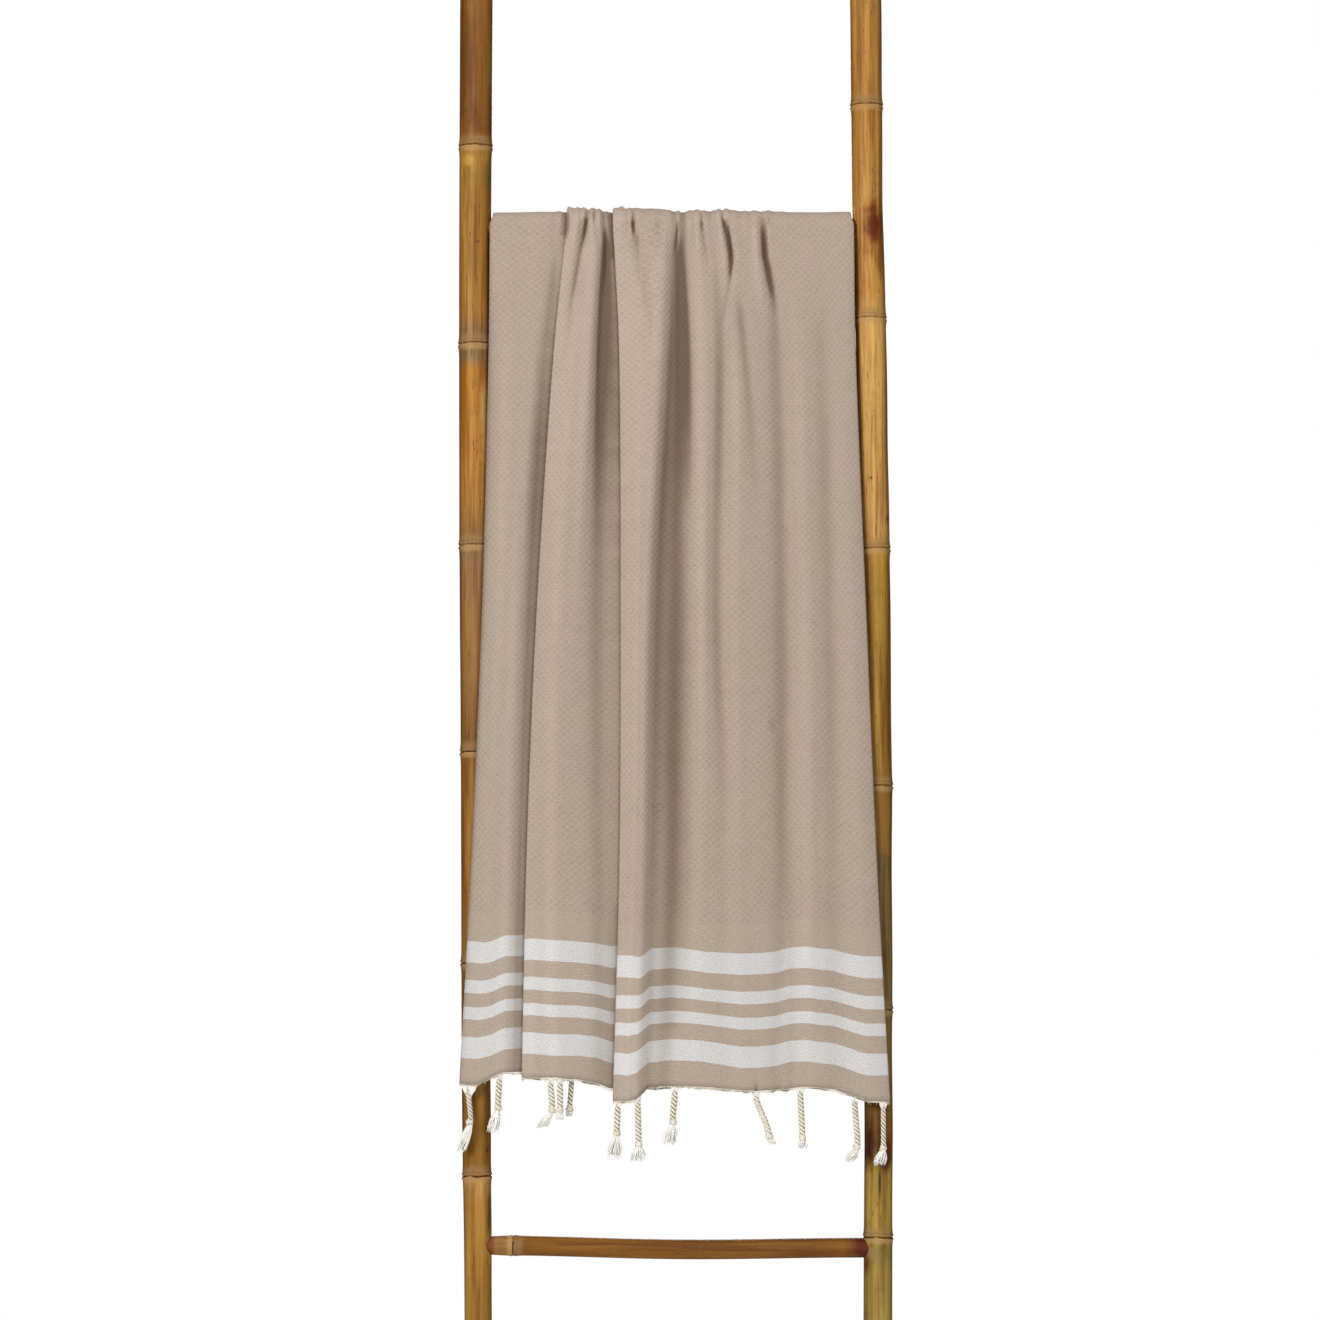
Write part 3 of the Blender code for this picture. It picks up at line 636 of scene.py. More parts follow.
def bamboo_finish(name, reach, tones, scorches=(), scars=None, crosswise=False):
    """Bamboo skin with its tones along one ladder axis, over its reach in metres."""
    skin = Finish(name, 0.5, 0.18)
    place = ladder_place(skin)
    x = skin.node("ShaderNodeSeparateXYZ", {0: place})
    spot = x if crosswise else x.twin("Z")
    share = (spot - reach[0]) / (reach[1] - reach[0])

    def drawn(factor):
        return skin.stretched(place, *((factor, 1.0, 1.0) if crosswise else (1.0, 1.0, factor)))

    along = drawn(STREAK_STRETCH)
    streak = skin.grain(along, 170.0, 3.0, 0.6)
    fibre = skin.grain(along, 850.0, 2.0, 0.6)
    broad = skin.grain(along, 75.0, 2.0)
    fleck = skin.grain(drawn(FLECK_STRETCH), 520.0, 2.0)
    cloud = skin.grain(place, 42.0, 4.0, 0.65)
    wobble = skin.grain(place, 9.0, 2.0)
    tone = skin.ramp(share + (wobble - 0.5) * 0.02, stops(reach, tones))
    tone = skin.tint(tone, broad, 0.56, 0.36, 0.75, (0.66, 0.52, 0.38))
    tone = skin.tint(tone, broad, 0.50, 0.68, 0.7, (1.22, 1.26, 1.18))
    tone = skin.tint(tone, streak, 0.52, 0.36, 0.8, (0.62, 0.46, 0.30))
    tone = skin.tint(tone, streak, 0.52, 0.68, 0.6, (1.28, 1.26, 1.16))
    tone = skin.wash(tone, cloud, 0.54, 0.72, 0.32, dye(122, 104, 40))
    tone = skin.tint(tone, fibre, 0.60, 0.38, 0.26, (0.48, 0.36, 0.26))
    tone = skin.wash(tone, fleck, 0.665, 0.74, 0.7, dye(74, 44, 18))
    depth = skin.ramp(share, stops(reach, scars)) if scars else PLAIN_SCAR
    tone, band = knot_marks(skin, place, tone, depth)
    for scorch in scorches:
        tone = scorched(skin, place, tone, scorch, (cloud + streak) * 0.5)
    # Painted shade: both sides of a pole, where the culm turns away from the front, are darkened towards
    # brown.
    if not crosswise:
        edge = abs(skin.carried("flank")) + (streak - 0.5) * 0.35
        tone = skin.tint(tone, edge, 0.6, 1.05, 0.6, FLANK_SHADE_TONE)
    skin.set("Base Color", tone)
    skin.set("Roughness", 0.46 + streak * 0.14 + band * 0.25)
    skin.relief(fibre * 0.35 + streak * 0.4 + band * 0.6, 0.0004)
    return skin.material


print("bamboo finish ready")

# %% [markdown]
# Each pole has its own run of tones, read from the photograph: the left one is dark
# brown above its highest visible knot and golden below it, and the right one is paler and
# turns olive towards its foot. Scorches come from the flame that straightened the poles.

# %% Pole tones
POLE_REACH = (0.0, 1.76)
LEFT_TONES = (
    (0.0, 160, 124, 50), (0.24, 178, 138, 58), (0.35, 176, 128, 56), (0.372, 190, 144, 84),
    (0.382, 146, 104, 32), (0.45, 144, 102, 36), (0.6, 150, 104, 42), (0.622, 172, 128, 66),
    (0.7, 164, 116, 50), (0.83, 156, 108, 48), (0.86, 140, 98, 48), (1.05, 156, 112, 64),
    (1.075, 150, 122, 84), (1.1, 158, 116, 60), (1.13, 184, 130, 58), (1.28, 178, 122, 44),
    (1.295, 146, 118, 78), (1.325, 154, 122, 80), (1.345, 182, 134, 62), (1.48, 176, 130, 56),
    (1.52, 182, 138, 58), (1.55, 138, 88, 32), (1.66, 148, 96, 36), (1.76, 138, 92, 36),
)
RIGHT_TONES = (
    (0.0, 154, 132, 64), (0.28, 160, 136, 66), (0.3, 136, 120, 50), (0.33, 172, 144, 66),
    (0.38, 168, 140, 60), (0.42, 128, 92, 30), (0.5, 140, 110, 46), (0.55, 140, 118, 66),
    (0.7, 150, 130, 82), (0.74, 138, 118, 72), (0.743, 172, 134, 58), (0.8, 166, 126, 52),
    (0.83, 176, 136, 58), (1.04, 164, 124, 44), (1.07, 178, 134, 58), (1.1, 198, 152, 84),
    (1.33, 204, 158, 86), (1.37, 190, 138, 66), (1.4, 196, 148, 74), (1.57, 192, 142, 66),
    (1.6, 188, 138, 66), (1.76, 190, 140, 66),
)
LEFT_SCARS = ((0.0, 0.95), (0.92, 0.95), (0.98, 0.2), (1.42, 0.3), (1.5, 0.6), (1.76, 0.6))
RIGHT_SCARS = ((0.0, 0.9), (0.68, 0.9), (0.74, 0.45), (1.76, 0.45))
LEFT_SCORCHES = table(
    Scorch,
    (-238, 1640, 12, 110, 0.75, (96, 56, 16)), (-208, 408, 2.2, 6, 0.8, (26, 18, 10)),
    (-206, 338, 3.5, 26, 0.8, (60, 66, 26)), (-212, 1500, 10, 22, 0.75, (112, 100, 40)),
    (-209, 1630, 5, 44, 0.75, (132, 120, 48)), (-232, 1518, 9, 10, 0.7, (202, 158, 70)),
    (-236, 1220, 8, 60, 0.75, (150, 84, 18)), (-215, 1225, 6, 60, 0.6, (206, 162, 92)),
    (-222, 1424, 3, 1.6, 0.7, (84, 52, 26)),
)
RIGHT_SCORCHES = table(
    Scorch,
    (224, 1442, 15, 40, 0.85, (132, 70, 18)), (223.5, 1445, 10, 24, 0.95, (98, 36, 6)),
    (231, 1410, 6, 34, 0.8, (128, 74, 24)), (218.9, 1156, 2.2, 2.6, 1.0, (70, 44, 20)),
    (238, 1110, 4, 8, 0.7, (120, 74, 24)), (214, 412, 12, 32, 0.95, (70, 28, 8)),
    (232, 404, 10, 20, 0.95, (86, 36, 12)), (225, 372, 1.4, 18, 0.9, (38, 34, 20)),
    (210, 286, 5, 16, 0.85, (96, 44, 12)), (217, 294, 9, 9, 0.8, (150, 116, 74)),
)
left_skin = bamboo_finish("bamboo_left", POLE_REACH, LEFT_TONES, LEFT_SCORCHES, LEFT_SCARS)
right_skin = bamboo_finish("bamboo_right", POLE_REACH, RIGHT_TONES, RIGHT_SCORCHES, RIGHT_SCARS)
print("tones:", len(LEFT_TONES), len(RIGHT_TONES))

# %% [markdown]
# A pole grows from its path, and then gets its cuts, as a maker would give it: the foot sawn
# level with the floor, the back of the top flatted plumb, and a blind hole for each rung.
# Its upper end is bored out, because a sawn culm is hollow.

# %% Grow the poles
TOP_FLAT_DEPTH = 2.5
FOOT_REACH = 0.004
CULM_THICKNESS = 4.5
BORE_DEPTH = 60.0
BORE_PAST = 10.0
HOLE_REACH = 30.0
HOLE_SIDES = 40
BORE_SIDES = 48
SHARP_EDGE = math.radians(50)


def cut(thing, start, end, radius, sides):
    """Cuts a rod between two ladder places out of a thing, for good."""
    start, end = Vector(world(*start)), Vector(world(*end))
    axis = end - start
    shape = bmesh.new()
    sizes = {"radius1": radius * MM, "radius2": radius * MM, "depth": axis.length}
    bmesh.ops.create_cone(shape, cap_ends=True, segments=sides, **sizes)
    turn = axis.to_track_quat("Z", "Y").to_matrix().to_4x4()
    turn.translation = (start + end) / 2
    bmesh.ops.transform(shape, matrix=turn, verts=shape.verts[:])
    mesh = bpy.data.meshes.new("rod")
    shape.to_mesh(mesh)
    shape.free()
    modifier = thing.modifiers.new("cut", "BOOLEAN")
    modifier.operation = "DIFFERENCE"
    modifier.solver = "EXACT"
    modifier.object = add_object("rod", mesh)
    made = baked(thing)
    bpy.data.objects.remove(modifier.object)
    thing.modifiers.remove(modifier)
    thing.data = made


def rung_ends(rung):
    """(x, along) of the rung's two seated ends, inside the poles."""
    left_x, left_radius = pole_axis(LEFT_POLE, rung.along)
    right_x, right_radius = pole_axis(RIGHT_POLE, rung.along)
    left = (left_x + left_radius - SOCKET_DEPTH, rung.along + rung.left_end)
    right = (right_x - right_radius + SOCKET_DEPTH, rung.along + rung.right_end)
    return left, right


STOUTEST = max(pole_axis(stations, POLE_TOP)[1] for stations in (LEFT_POLE, RIGHT_POLE))
TOP_FLAT_Y = float(world(0.0, POLE_TOP, -STOUTEST)[1]) - TOP_FLAT_DEPTH * MM


def trim_ends(mesh):
    """Saws the foot level with the floor and flats the back of the top."""
    for vertex in mesh.vertices:
        lifted = vertex.co.z / COS_LEAN
        if lifted < FOOT_REACH:
            vertex.co -= Vector((0.0, SIN_LEAN, COS_LEAN)) * lifted
        vertex.co.y = min(vertex.co.y, TOP_FLAT_Y)


def grow_pole(name, stations, knots, seed, skin, side):
    points, numbers = pole_path(stations, knots, seed)
    path = path_mesh(name + "_path", [points], **numbers)
    pole = grow(name, CULM, path, Sides=POLE_FACETS, Finish=skin)
    trim_ends(pole.data)
    for rung in RUNGS:
        x, along = rung_ends(rung)[0 if side > 0 else 1]
        start = (x - side * SEAT_GAP, along, 0.0)
        end = (x + side * HOLE_REACH, along, 0.0)
        cut(pole, start, end, RUNG_RADIUS + SEAT_GAP, HOLE_SIDES)
    x, radius = pole_axis(stations, POLE_TOP)
    start = (x, POLE_TOP - BORE_DEPTH, 0.0)
    cut(pole, start, (x, POLE_TOP + BORE_PAST, 0.0), radius - CULM_THICKNESS, BORE_SIDES)
    pole.data.set_sharp_from_angle(angle=SHARP_EDGE)
    return pole


pole_left = grow_pole("bamboo_pole_left", LEFT_POLE, LEFT_KNOTS, 3.0, left_skin, 1.0)
hand_over(pole_left, "pole_left")
pole_right = grow_pole("bamboo_pole_right", RIGHT_POLE, RIGHT_KNOTS, 7.0, right_skin, -1.0)
hand_over(pole_right, "pole_right")

# %% [markdown]
# ## Rungs
#
# The rungs are thinner, darker culms from the same tree, eased a little to fit the holes, and
# the lowest one is whittled at its left end. They are browned by heat, redder at both ends,
# and the lowest one bows a little.

# %% Grow the rungs
RUNG_REACH = (-0.23, 0.23)
RUNG_TONES = (
    (-0.23, 110, 48, 20), (-0.202, 132, 70, 36), (-0.198, 158, 116, 66), (-0.182, 160, 118, 66),
    (-0.176, 132, 86, 24), (-0.1, 146, 98, 34), (0.0, 136, 90, 32), (0.08, 144, 100, 40),
    (0.15, 126, 80, 28), (0.185, 140, 92, 30), (0.196, 120, 60, 24), (0.202, 96, 40, 16),
    (0.23, 90, 40, 16),
)
RUNG_SEGMENT = 6.0
STRAIGHT_END = SOCKET_DEPTH + 4.0
WHITTLED = 24.0
WHITTLE_DEPTH = 0.9
EASE = 0.1
RUNG_KNOT = 0.7

rung_skin = bamboo_finish("bamboo_rungs", RUNG_REACH, RUNG_TONES, crosswise=True)


def rung_path(rung):
    left, right = rung_ends(rung)
    places = set(culm_places(left[0], right[0], (rung.knot_x,)))
    places |= set(np.arange(left[0], right[0], RUNG_SEGMENT).round(2))
    places = np.array(sorted(places))
    length = right[0] - left[0]
    share = (places - left[0]) / length
    inner = np.clip((places - left[0] - STRAIGHT_END) / (length - 2 * STRAIGHT_END), 0.0, 1.0)
    along = blend(left[1], right[1], smooth(share)) - rung.sag * np.sin(math.pi * inner) ** 2
    distance = from_knot(places, (rung.knot_x,))
    whittle = WHITTLE_DEPTH * (1.0 - smooth((places - left[0]) / WHITTLED)) * (rung.name == "rung_lowest")
    rise = RUNG_KNOT * knot_rise(distance) * (rung.name != "rung_top")
    radius = (RUNG_RADIUS - EASE - whittle + rise) * MM
    return world(places, along, 0.0), {"radius": radius, **knot_numbers(distance)}


for rung in RUNGS:
    points, numbers = rung_path(rung)
    path = path_mesh(rung.name + "_path", [points], **numbers)
    piece = grow("bamboo_" + rung.name, CULM, path, Sides=RUNG_FACETS, Finish=rung_skin)
    hand_over(piece, rung.name)

# %% [markdown]
# ## The towel's folds
#
# The towel hangs in two layers: an outer one with two knife pleats and soft ridges, and an
# inner one behind it that shows only at the edges and from the back. Each fold keeps its
# own row in a table: its tuck, its place and its rise at five heights, and how far it dips
# at the hem. The same table shapes the solid, and here it is read at a much finer pitch.

# %% Fold table
CLOTH = 1.5
LAYER_PITCH = 3.0
TURN_RADIUS = 1.4
TURN_SPANS = 4
PLEAT_RUN_IN = 3.5
OVER_RUNG = 17.2
FRONT_DROP = 962.3
BACK_DROP = 860.0
BACK_TURN = math.radians(175)
ARC_LENGTH = OVER_RUNG * BACK_TURN
RUNG_BACK = FRONT_DROP + ARC_LENGTH
BACK_HEM = RUNG_BACK + BACK_DROP
DIP_FADE = 700.0

Fold = namedtuple("Fold", "name tuck x rise dip")
FOLDS = table(
    Fold,
    ("left_selvedge", 0, (-238.8, -225.7, -215.5, -209.8, -209), (3, 3, 2, 1, 0), 1),
    ("left_ridge", 0, (-220, -208, -198, -191.5, -180), (7, 8.5, 9, 5.5, 0.5), 1),
    ("left_shoulder", 0, (-190, -184, -176.5, -160, -144), (8.5, 9.5, 9.5, 6, 0.5), 14),
    ("left_foot", 0, (-178.5, -173, -163.5, -147, -131), (2.8, 2.6, 2.4, 4, 0.3), 14),
    ("left_pleat", 10, (-168, -163, -152.3, -134.5, -120.5), (1.8, 1.8, 1.8, 3.2, 0.2), 14),
    ("middle_ridge", 0, (-134, -137.8, -132.3, -114, -106), (12, 13.5, 14.5, 13.5, 5), 8),
    ("middle_slope", 0, (-109, -112, -109, -96, -87.5), (8, 8.5, 9.5, 12.5, 3.4), 6),
    ("middle_valley", 0, (-85, -85.5, -88, -84, -79), (3.5, 2, 0.8, 0.3, 0.3), 1),
    ("centre_pleat", 9, (-67.5, -60.5, -59.5, -61.5, -68.5), (4, 4.2, 4, 2, 0), -4),
    ("centre_ridge", 0, (-54, -46, -42, -40, -44), (16.5, 17.5, 18, 14.5, 5), -17.5),
    ("centre_shoulder", 0, (-44, -37, -32, -17.5, -12), (14.5, 15.5, 16, 13.5, 3.6), -15),
    ("centre_foot", 0, (-32.5, -26, -20.5, -6, -4), (6, 4.5, 3.5, 3.5, 1.6), -3),
    ("centre_valley", 0, (-14, -3, 0.5, 5, 3.7), (3, 0.6, 0.3, 0.3, 0.2), -1),
    ("ridge_a", 0, (21.5, 27, 30.4, 29.3, 22.5), (8, 11, 12.5, 9.5, 2.4), -1.5),
    ("valley_a", 0, (51.6, 51.6, 45.5, 51.6, 42), (7, 7.5, 7.5, 6.2, 1.2), -4),
    ("ridge_b", 0, (73.8, 69.4, 64.9, 67.2, 53.5), (7.5, 9.5, 12, 10, 3.4), -6),
    ("slope_b", 0, (91, 92, 90, 88, 76), (5.5, 6.5, 8, 8, 1), -6.5),
    ("valley_b", 0, (107.3, 117, 117.5, 111.7, 99.5), (4, 2, 1.5, 4.5, 1.6), -5.5),
    ("ridge_c", 0, (145.1, 144, 143.8, 136, 125), (8.5, 10, 9, 7, 0.5), -2),
    ("valley_c", 0, (174.1, 174.1, 171.9, 165, 158), (5, 5, 5, 3.5, 0.4), -5),
    ("ridge_d", 0, (212, 203.1, 194.2, 185.3, 181), (8, 8, 7, 4, 0.8), -17),
    ("right_edge", 0, (235.5, 222.2, 211.5, 201.6, 200.4), (5, 5, 4, 2.5, 1), -18),
)
FOLD_STATIONS = (0.0, 260.0, 538.0, 820.0, FRONT_DROP)
FLOOR_STATIONS = (0.0, 340.0, 520.0, 770.0, FRONT_DROP)
FLOOR_OUT = (24.0, 23.5, 21.0, 18.0, OVER_RUNG)
print("cloth length:", round(BACK_HEM, 1), "mm from hem to hem")

# %% [markdown]
# A cross-section of the cloth is worked out in two steps. First come the few guide points
# that the solid has: the folds, and the S-turn of a knife pleat, whose left side passes
# under its right side. Down the back the folds settle into four even waves.

# %% Guide points of a cross-section
EDGE_TUCK = 3.0
EDGE_TUCK_WITHIN = OVER_RUNG * math.radians(45)
BACK_LEFT = -230.0
BACK_RIGHT = 224.0
BACK_WAVES = 4.0
BACK_WAVE_RISE = 9.0
BACK_SETTLE = 420.0
BACK_DIP = 3.5
BACK_DIP_WAVES = 9.0
BACK_EVENED = 0.35
BACK_FLATTENED = 0.25
INNER_INSET = 9.0
INNER_SHORTER = 5.0
INNER_SPANS = 12
INNER_DEEPEST = -30.0
INNER_DEEP = -7.0
INNER_LIFTS = 4.0
INNER_LOWERS = 3.0


def section_nodes(up):
    """Each fold's (x, rise, tuck, dip) at a distance up the cloth from the front hem."""
    settle = smooth((up - RUNG_BACK) / BACK_SETTLE)
    tucked = EDGE_TUCK * smooth((up - FRONT_DROP) / EDGE_TUCK_WITHIN)
    first, last = FOLDS[0].x[-1], FOLDS[-1].x[-1]
    nodes = []
    for index, fold in enumerate(FOLDS):
        share = blend((fold.x[-1] - first) / (last - first), index / (len(FOLDS) - 1), BACK_EVENED)
        back_rise = BACK_FLATTENED * fold.rise[-1 if fold.tuck else 0]
        if not fold.tuck:
            back_rise += BACK_WAVE_RISE * (1.0 - math.cos(2 * math.pi * BACK_WAVES * share)) / 2
        x = curve_through(FOLD_STATIONS, fold.x, up)
        if fold is FOLDS[0]:
            x += tucked
        if fold is FOLDS[-1]:
            x -= tucked
            back_rise = fold.rise[-1]
        x = blend(x, blend(BACK_LEFT, BACK_RIGHT, share), settle)
        rise = blend(curve_through(FOLD_STATIONS, fold.rise, up), back_rise, settle)
        back_dip = BACK_DIP * math.sin(BACK_DIP_WAVES * share)
        dip = blend(fold.dip * (1.0 - smooth(up / DIP_FADE)), back_dip, settle)
        nodes.append((x, rise, fold.tuck, dip))
    return nodes


def knife_pleat(x, rise, tuck, under_dip, over_dip):
    """The S-turn of a pleat: out under its upper panel, back, and over again."""
    r = TURN_RADIUS
    turns = [math.pi * step / TURN_SPANS for step in range(TURN_SPANS + 1)]
    run_in = [(x - PLEAT_RUN_IN, rise, under_dip)]
    under = [(x + tuck + r * math.sin(a), rise + r - r * math.cos(a), under_dip) for a in turns]
    over = [(x - r * math.sin(a), rise + 3 * r - r * math.cos(a), over_dip) for a in turns]
    return run_in + under + over


def outer_guides(nodes):
    """The folds and pleats, with one guide half way between each and the next."""
    points = []
    for index, (x, rise, tuck, dip) in enumerate(nodes):
        leg = knife_pleat(x, rise, tuck, dip, nodes[index + 1][3]) if tuck else [(x, rise, dip)]
        if points:
            points.append([blend(start, end, 0.5) for start, end in zip(points[-1], leg[0])])
        points += leg
    edge_x, edge_rise, edge_dip = points[-1]
    points[-1] = (edge_x - LAYER_PITCH / 2, edge_rise, edge_dip)
    return points


def inner_guides(nodes):
    """From the lengthwise fold at the right back to the left, one pitch behind."""
    right_x, right_rise, _, right_dip = nodes[-1]
    turn = LAYER_PITCH / 2
    centre = right_x - turn
    points = []
    for a in (math.pi / 4, math.pi / 2, 3 * math.pi / 4):
        points.append((centre + turn * math.sin(a), right_rise - turn + turn * math.cos(a), right_dip))
    left_x = nodes[0][0] + INNER_INSET
    dips = [node[3] for node in nodes]
    for step in range(INNER_SPANS + 1):
        share = step / INNER_SPANS
        dip = np.interp((1.0 - share) * (len(nodes) - 1), range(len(nodes)), dips)
        lifted = smooth(INNER_LIFTS * share)
        dip = max(dip, blend(INNER_DEEPEST, INNER_DEEP, lifted)) + INNER_SHORTER * lifted
        lowered = right_rise * (1.0 - smooth(INNER_LOWERS * share))
        points.append((blend(centre, left_x, share), lowered - LAYER_PITCH, dip))
    return points


def guides(up):
    nodes = section_nodes(up)
    return np.array(outer_guides(nodes) + inner_guides(nodes))


OUTER_COUNT = len(outer_guides(section_nodes(0.0)))
print("guide points:", len(guides(0.0)), "and", OUTER_COUNT, "of them in the outer layer")

# %% [markdown]
# Then a smooth curve is drawn through the guides, with a column of points every few
# millimetres: closest where the cloth is gathered, wider on its flat panels and inside.
# A column is a warp thread, so its distance across the flat cloth is the same all the way
# up, and that distance becomes the U of the cloth's UV map. V is the distance up the cloth.

# %% Columns of warp
GATHER_LEFT = -140.0
GATHER_RIGHT = 128.0
GATHER_PITCH = 3.1
PANEL_PITCH = 5.6
INNER_PITCH = 12.5
PITCH_SAMPLES = (60.0, 350.0, 640.0, 900.0)


def stretches(points):
    """The distance from each guide to the next, in the level plane."""
    return np.linalg.norm(np.diff(points[:, :2], axis=0), axis=1)


def column_steps():
    """How many steps each stretch between two guides gets, and its flat length."""
    sections = [guides(up) for up in PITCH_SAMPLES]
    lengths = np.mean([stretches(section) for section in sections], axis=0)
    middle = np.mean([(s[:-1, 0] + s[1:, 0]) / 2 for s in sections], axis=0)
    gathered = (middle > GATHER_LEFT) & (middle < GATHER_RIGHT)
    pitch = np.where(gathered, GATHER_PITCH, PANEL_PITCH)
    pitch[OUTER_COUNT + 2:] = INNER_PITCH
    return np.maximum((lengths / pitch).round(), 1).astype(int), lengths


def evenly(start, end, steps):
    """Places from start to end in equal steps, without the start."""
    return [blend(start, end, (k + 1) / steps) for k in range(steps)]


def along_curve(points):
    """A smooth curve through the guides, with the fixed number of steps in each stretch."""
    gaps = np.maximum(stretches(points), 1e-6)
    rates = np.diff(points, axis=0) / gaps[:, None]
    before, after = gaps[:-1, None], gaps[1:, None]
    inner = (rates[:-1] * after + rates[1:] * before) / (before + after)
    slopes = np.concatenate([rates[:1], inner, rates[-1:]])
    made = []
    for i, steps in enumerate(STEPS):
        t = (np.arange(steps) / steps)[:, None]
        made.append(curve_step(t, points[i], points[i + 1], gaps[i] * slopes[i], gaps[i] * slopes[i + 1]))
    return np.concatenate([*made, points[-1:]])


STEPS, SPAN_LENGTHS = column_steps()
places = [0.0]
for steps, span in zip(STEPS, SPAN_LENGTHS):
    places += evenly(places[-1], places[-1] + span, steps)
COLUMN_PLACES = np.array(places)
OUTER_COLUMNS = int(sum(STEPS[:OUTER_COUNT - 1])) + 1
print("flat width:", round(places[-1]), "mm in", len(places), "columns")

# %% [markdown]
# ## Gathers and creases
#
# Where the cloth bunches on the rung it rises in small gathers, and from there soft creases
# run down between the big folds. Each is a row: its width, and its way down the cloth as
# (x, up, rise). They raise or sink only the outer layer, and never below its flat floor.

# %% Crease tables
Gather = namedtuple("Gather", "x wide rise spread reach")
GATHERS = table(
    Gather,
    (-131, 2.4, 1.2, -5, 60), (-119.5, 1.9, 1.5, -4, 42), (-115, 1.7, -1.8, -8, 34),
    (-110.5, 1.8, 1.3, -7, 36), (-103.5, 1.8, 1.9, -4, 40), (-98.5, 1.6, -1.5, -3, 30),
    (-93.5, 2, 2.2, 1, 40), (-86, 1.7, 1.9, 3, 30), (-78, 2, 1.4, 6, 34), (-66, 2, -1.2, -1, 50),
    (-60.5, 1.9, 1.8, -2, 46), (-55, 1.7, -1.6, -4, 34), (-50.5, 1.8, 1.5, -5, 38), (-43, 2, 0.9, 6, 38),
    (-33, 2.2, -1.4, 4, 44), (-26, 2, 1.4, 2, 40), (-16, 2.2, 1.6, 3, 40), (-7, 1.8, 0.8, 2, 30),
    (3, 1.9, 2.2, 1, 56), (9.5, 1.8, -0.8, 1, 34), (16, 2, 1.2, 2, 46), (24, 1.8, 1.7, 2, 40),
    (32, 1.7, 0.8, 4, 26), (43, 1.8, 1.6, 4, 36), (48.5, 1.9, 2.2, 6, 44), (53, 1.5, -1.4, 7, 36),
    (57.5, 1.8, 2, 6, 40), (66, 2.2, 0.9, 3, 30), (78, 2.2, 1.2, 2, 34), (89, 2, 1.7, 3, 44),
    (97, 1.8, -0.8, 4, 30), (105, 1.8, 1.4, 4, 50), (121, 2.2, 0.7, 5, 36),
)
Crease = namedtuple("Crease", "name wide x up rise")


def creases(*rows):
    """Creases from rows of a name, a width and the stops (x, up, rise) of their way."""
    made = []
    for name, wide, *way in rows:
        made.append(Crease(name, wide, *zip(*sorted(way, key=lambda stop: stop[1]))))
    return made


def gather_row(gather):
    """A gather crosses over the rung and fades on both drops."""
    x, wide, rise, spread, reach = gather
    front = (x + spread, FRONT_DROP - reach, 0.0)
    waist = (x + 0.35 * spread, FRONT_DROP - 0.35 * reach, 0.7 * rise)
    over = (x, FRONT_DROP + 6.0, rise)
    behind = (x, RUNG_BACK - 8.0, 0.8 * rise)
    back = (x - 0.4 * spread, RUNG_BACK + 0.9 * reach, 0.0)
    return "gather", wide, front, waist, over, behind, back


CREASES = creases(
    ("left_fan", 6, (-131, 960, 0), (-136, 900, -1.2), (-143, 820, 0)),
    ("middle_fan", 4, (-102, 968, -4), (-106, 940, -4.6), (-119, 867, -2.2), (-122, 830, 0)),
    ("centre_fan", 5.5, (-49, 966, -3), (-42, 925, -2.4), (-29, 860, -1.6), (-25, 810, 0)),
    ("centre_dent", 3, (-21.5, 966, -2.6), (-20.8, 930, 0)),
    ("ridge_a_dent", 3, (29, 966, -2.4), (33, 936, -1.6), (37, 900, 0)),
    ("deep_v", 3.4, (56.5, 968, -4), (59.5, 945, -8), (62.3, 925, -7.5), (61, 900, -2.8),
     (57, 875, -1.2), (52, 840, 0)),
    ("long_left_leg", 7.5, (52, 840, 0), (46, 767, -0.3), (43.5, 690, -0.7), (42.5, 600, -0.9),
     (46, 480, -0.9), (54, 360, -0.7), (60, 280, 0)),
    ("long_right_leg", 8, (64, 905, 0), (70, 860, -1.8), (83, 740, -1.6), (88, 630, -1), (90, 520, 0)),
    ("slanted_v", 3.6, (97.8, 972, -2), (98.6, 955, -6), (100.4, 926, -7.5), (105.6, 900, -4.8),
     (111, 872, -1.2), (114, 820, 0)),
    ("slanted_ridge", 6, (88, 966, 0), (90, 940, 2.6), (94, 900, 2.6), (98, 850, 0)),
    ("right_soft", 14, (150, 860, 0), (165, 700, -1), (170, 480, -1.2), (172, 260, 0)),
    ("small_dent", 4, (106, 412, 0), (107, 398, -1.6), (111, 388, 0)),
    ("left_long", 9, (-205, 900, 0), (-207, 700, -0.9), (-214, 450, 0)),
    ("middle_low", 10, (-150, 420, 0), (-151, 260, -1.2), (-150, 90, -0.8), (-150, 0, -0.8)),
    ("pinch", 2.4, (86.5, 22, 0), (88, 8, -1.2), (88.3, 0, -2.4)),
    ("small_pinch", 2.2, (113.5, 20, 0), (112.8, 8, -0.8), (112.8, 0, -1.8)),
    ("right_low", 9, (128, 330, 0), (131, 200, -1.2), (130, 60, -1.6), (130, 0, -1.6)),
    *(gather_row(gather) for gather in GATHERS),
)


def crease_rise(drawn, x, up):
    """What a list of creases adds to the rise at x, on the row at distance up."""
    total = np.zeros_like(x)
    for crease in drawn:
        if crease.up[0] <= up <= crease.up[-1]:
            middle = np.interp(up, crease.up, crease.x)
            rise = curve_through(crease.up, crease.rise, up)
            total += rise * np.exp(-((x - middle) / crease.wide) ** 2)
    return total


print(len(CREASES), "creases and", len(GATHERS), "of them gathers")

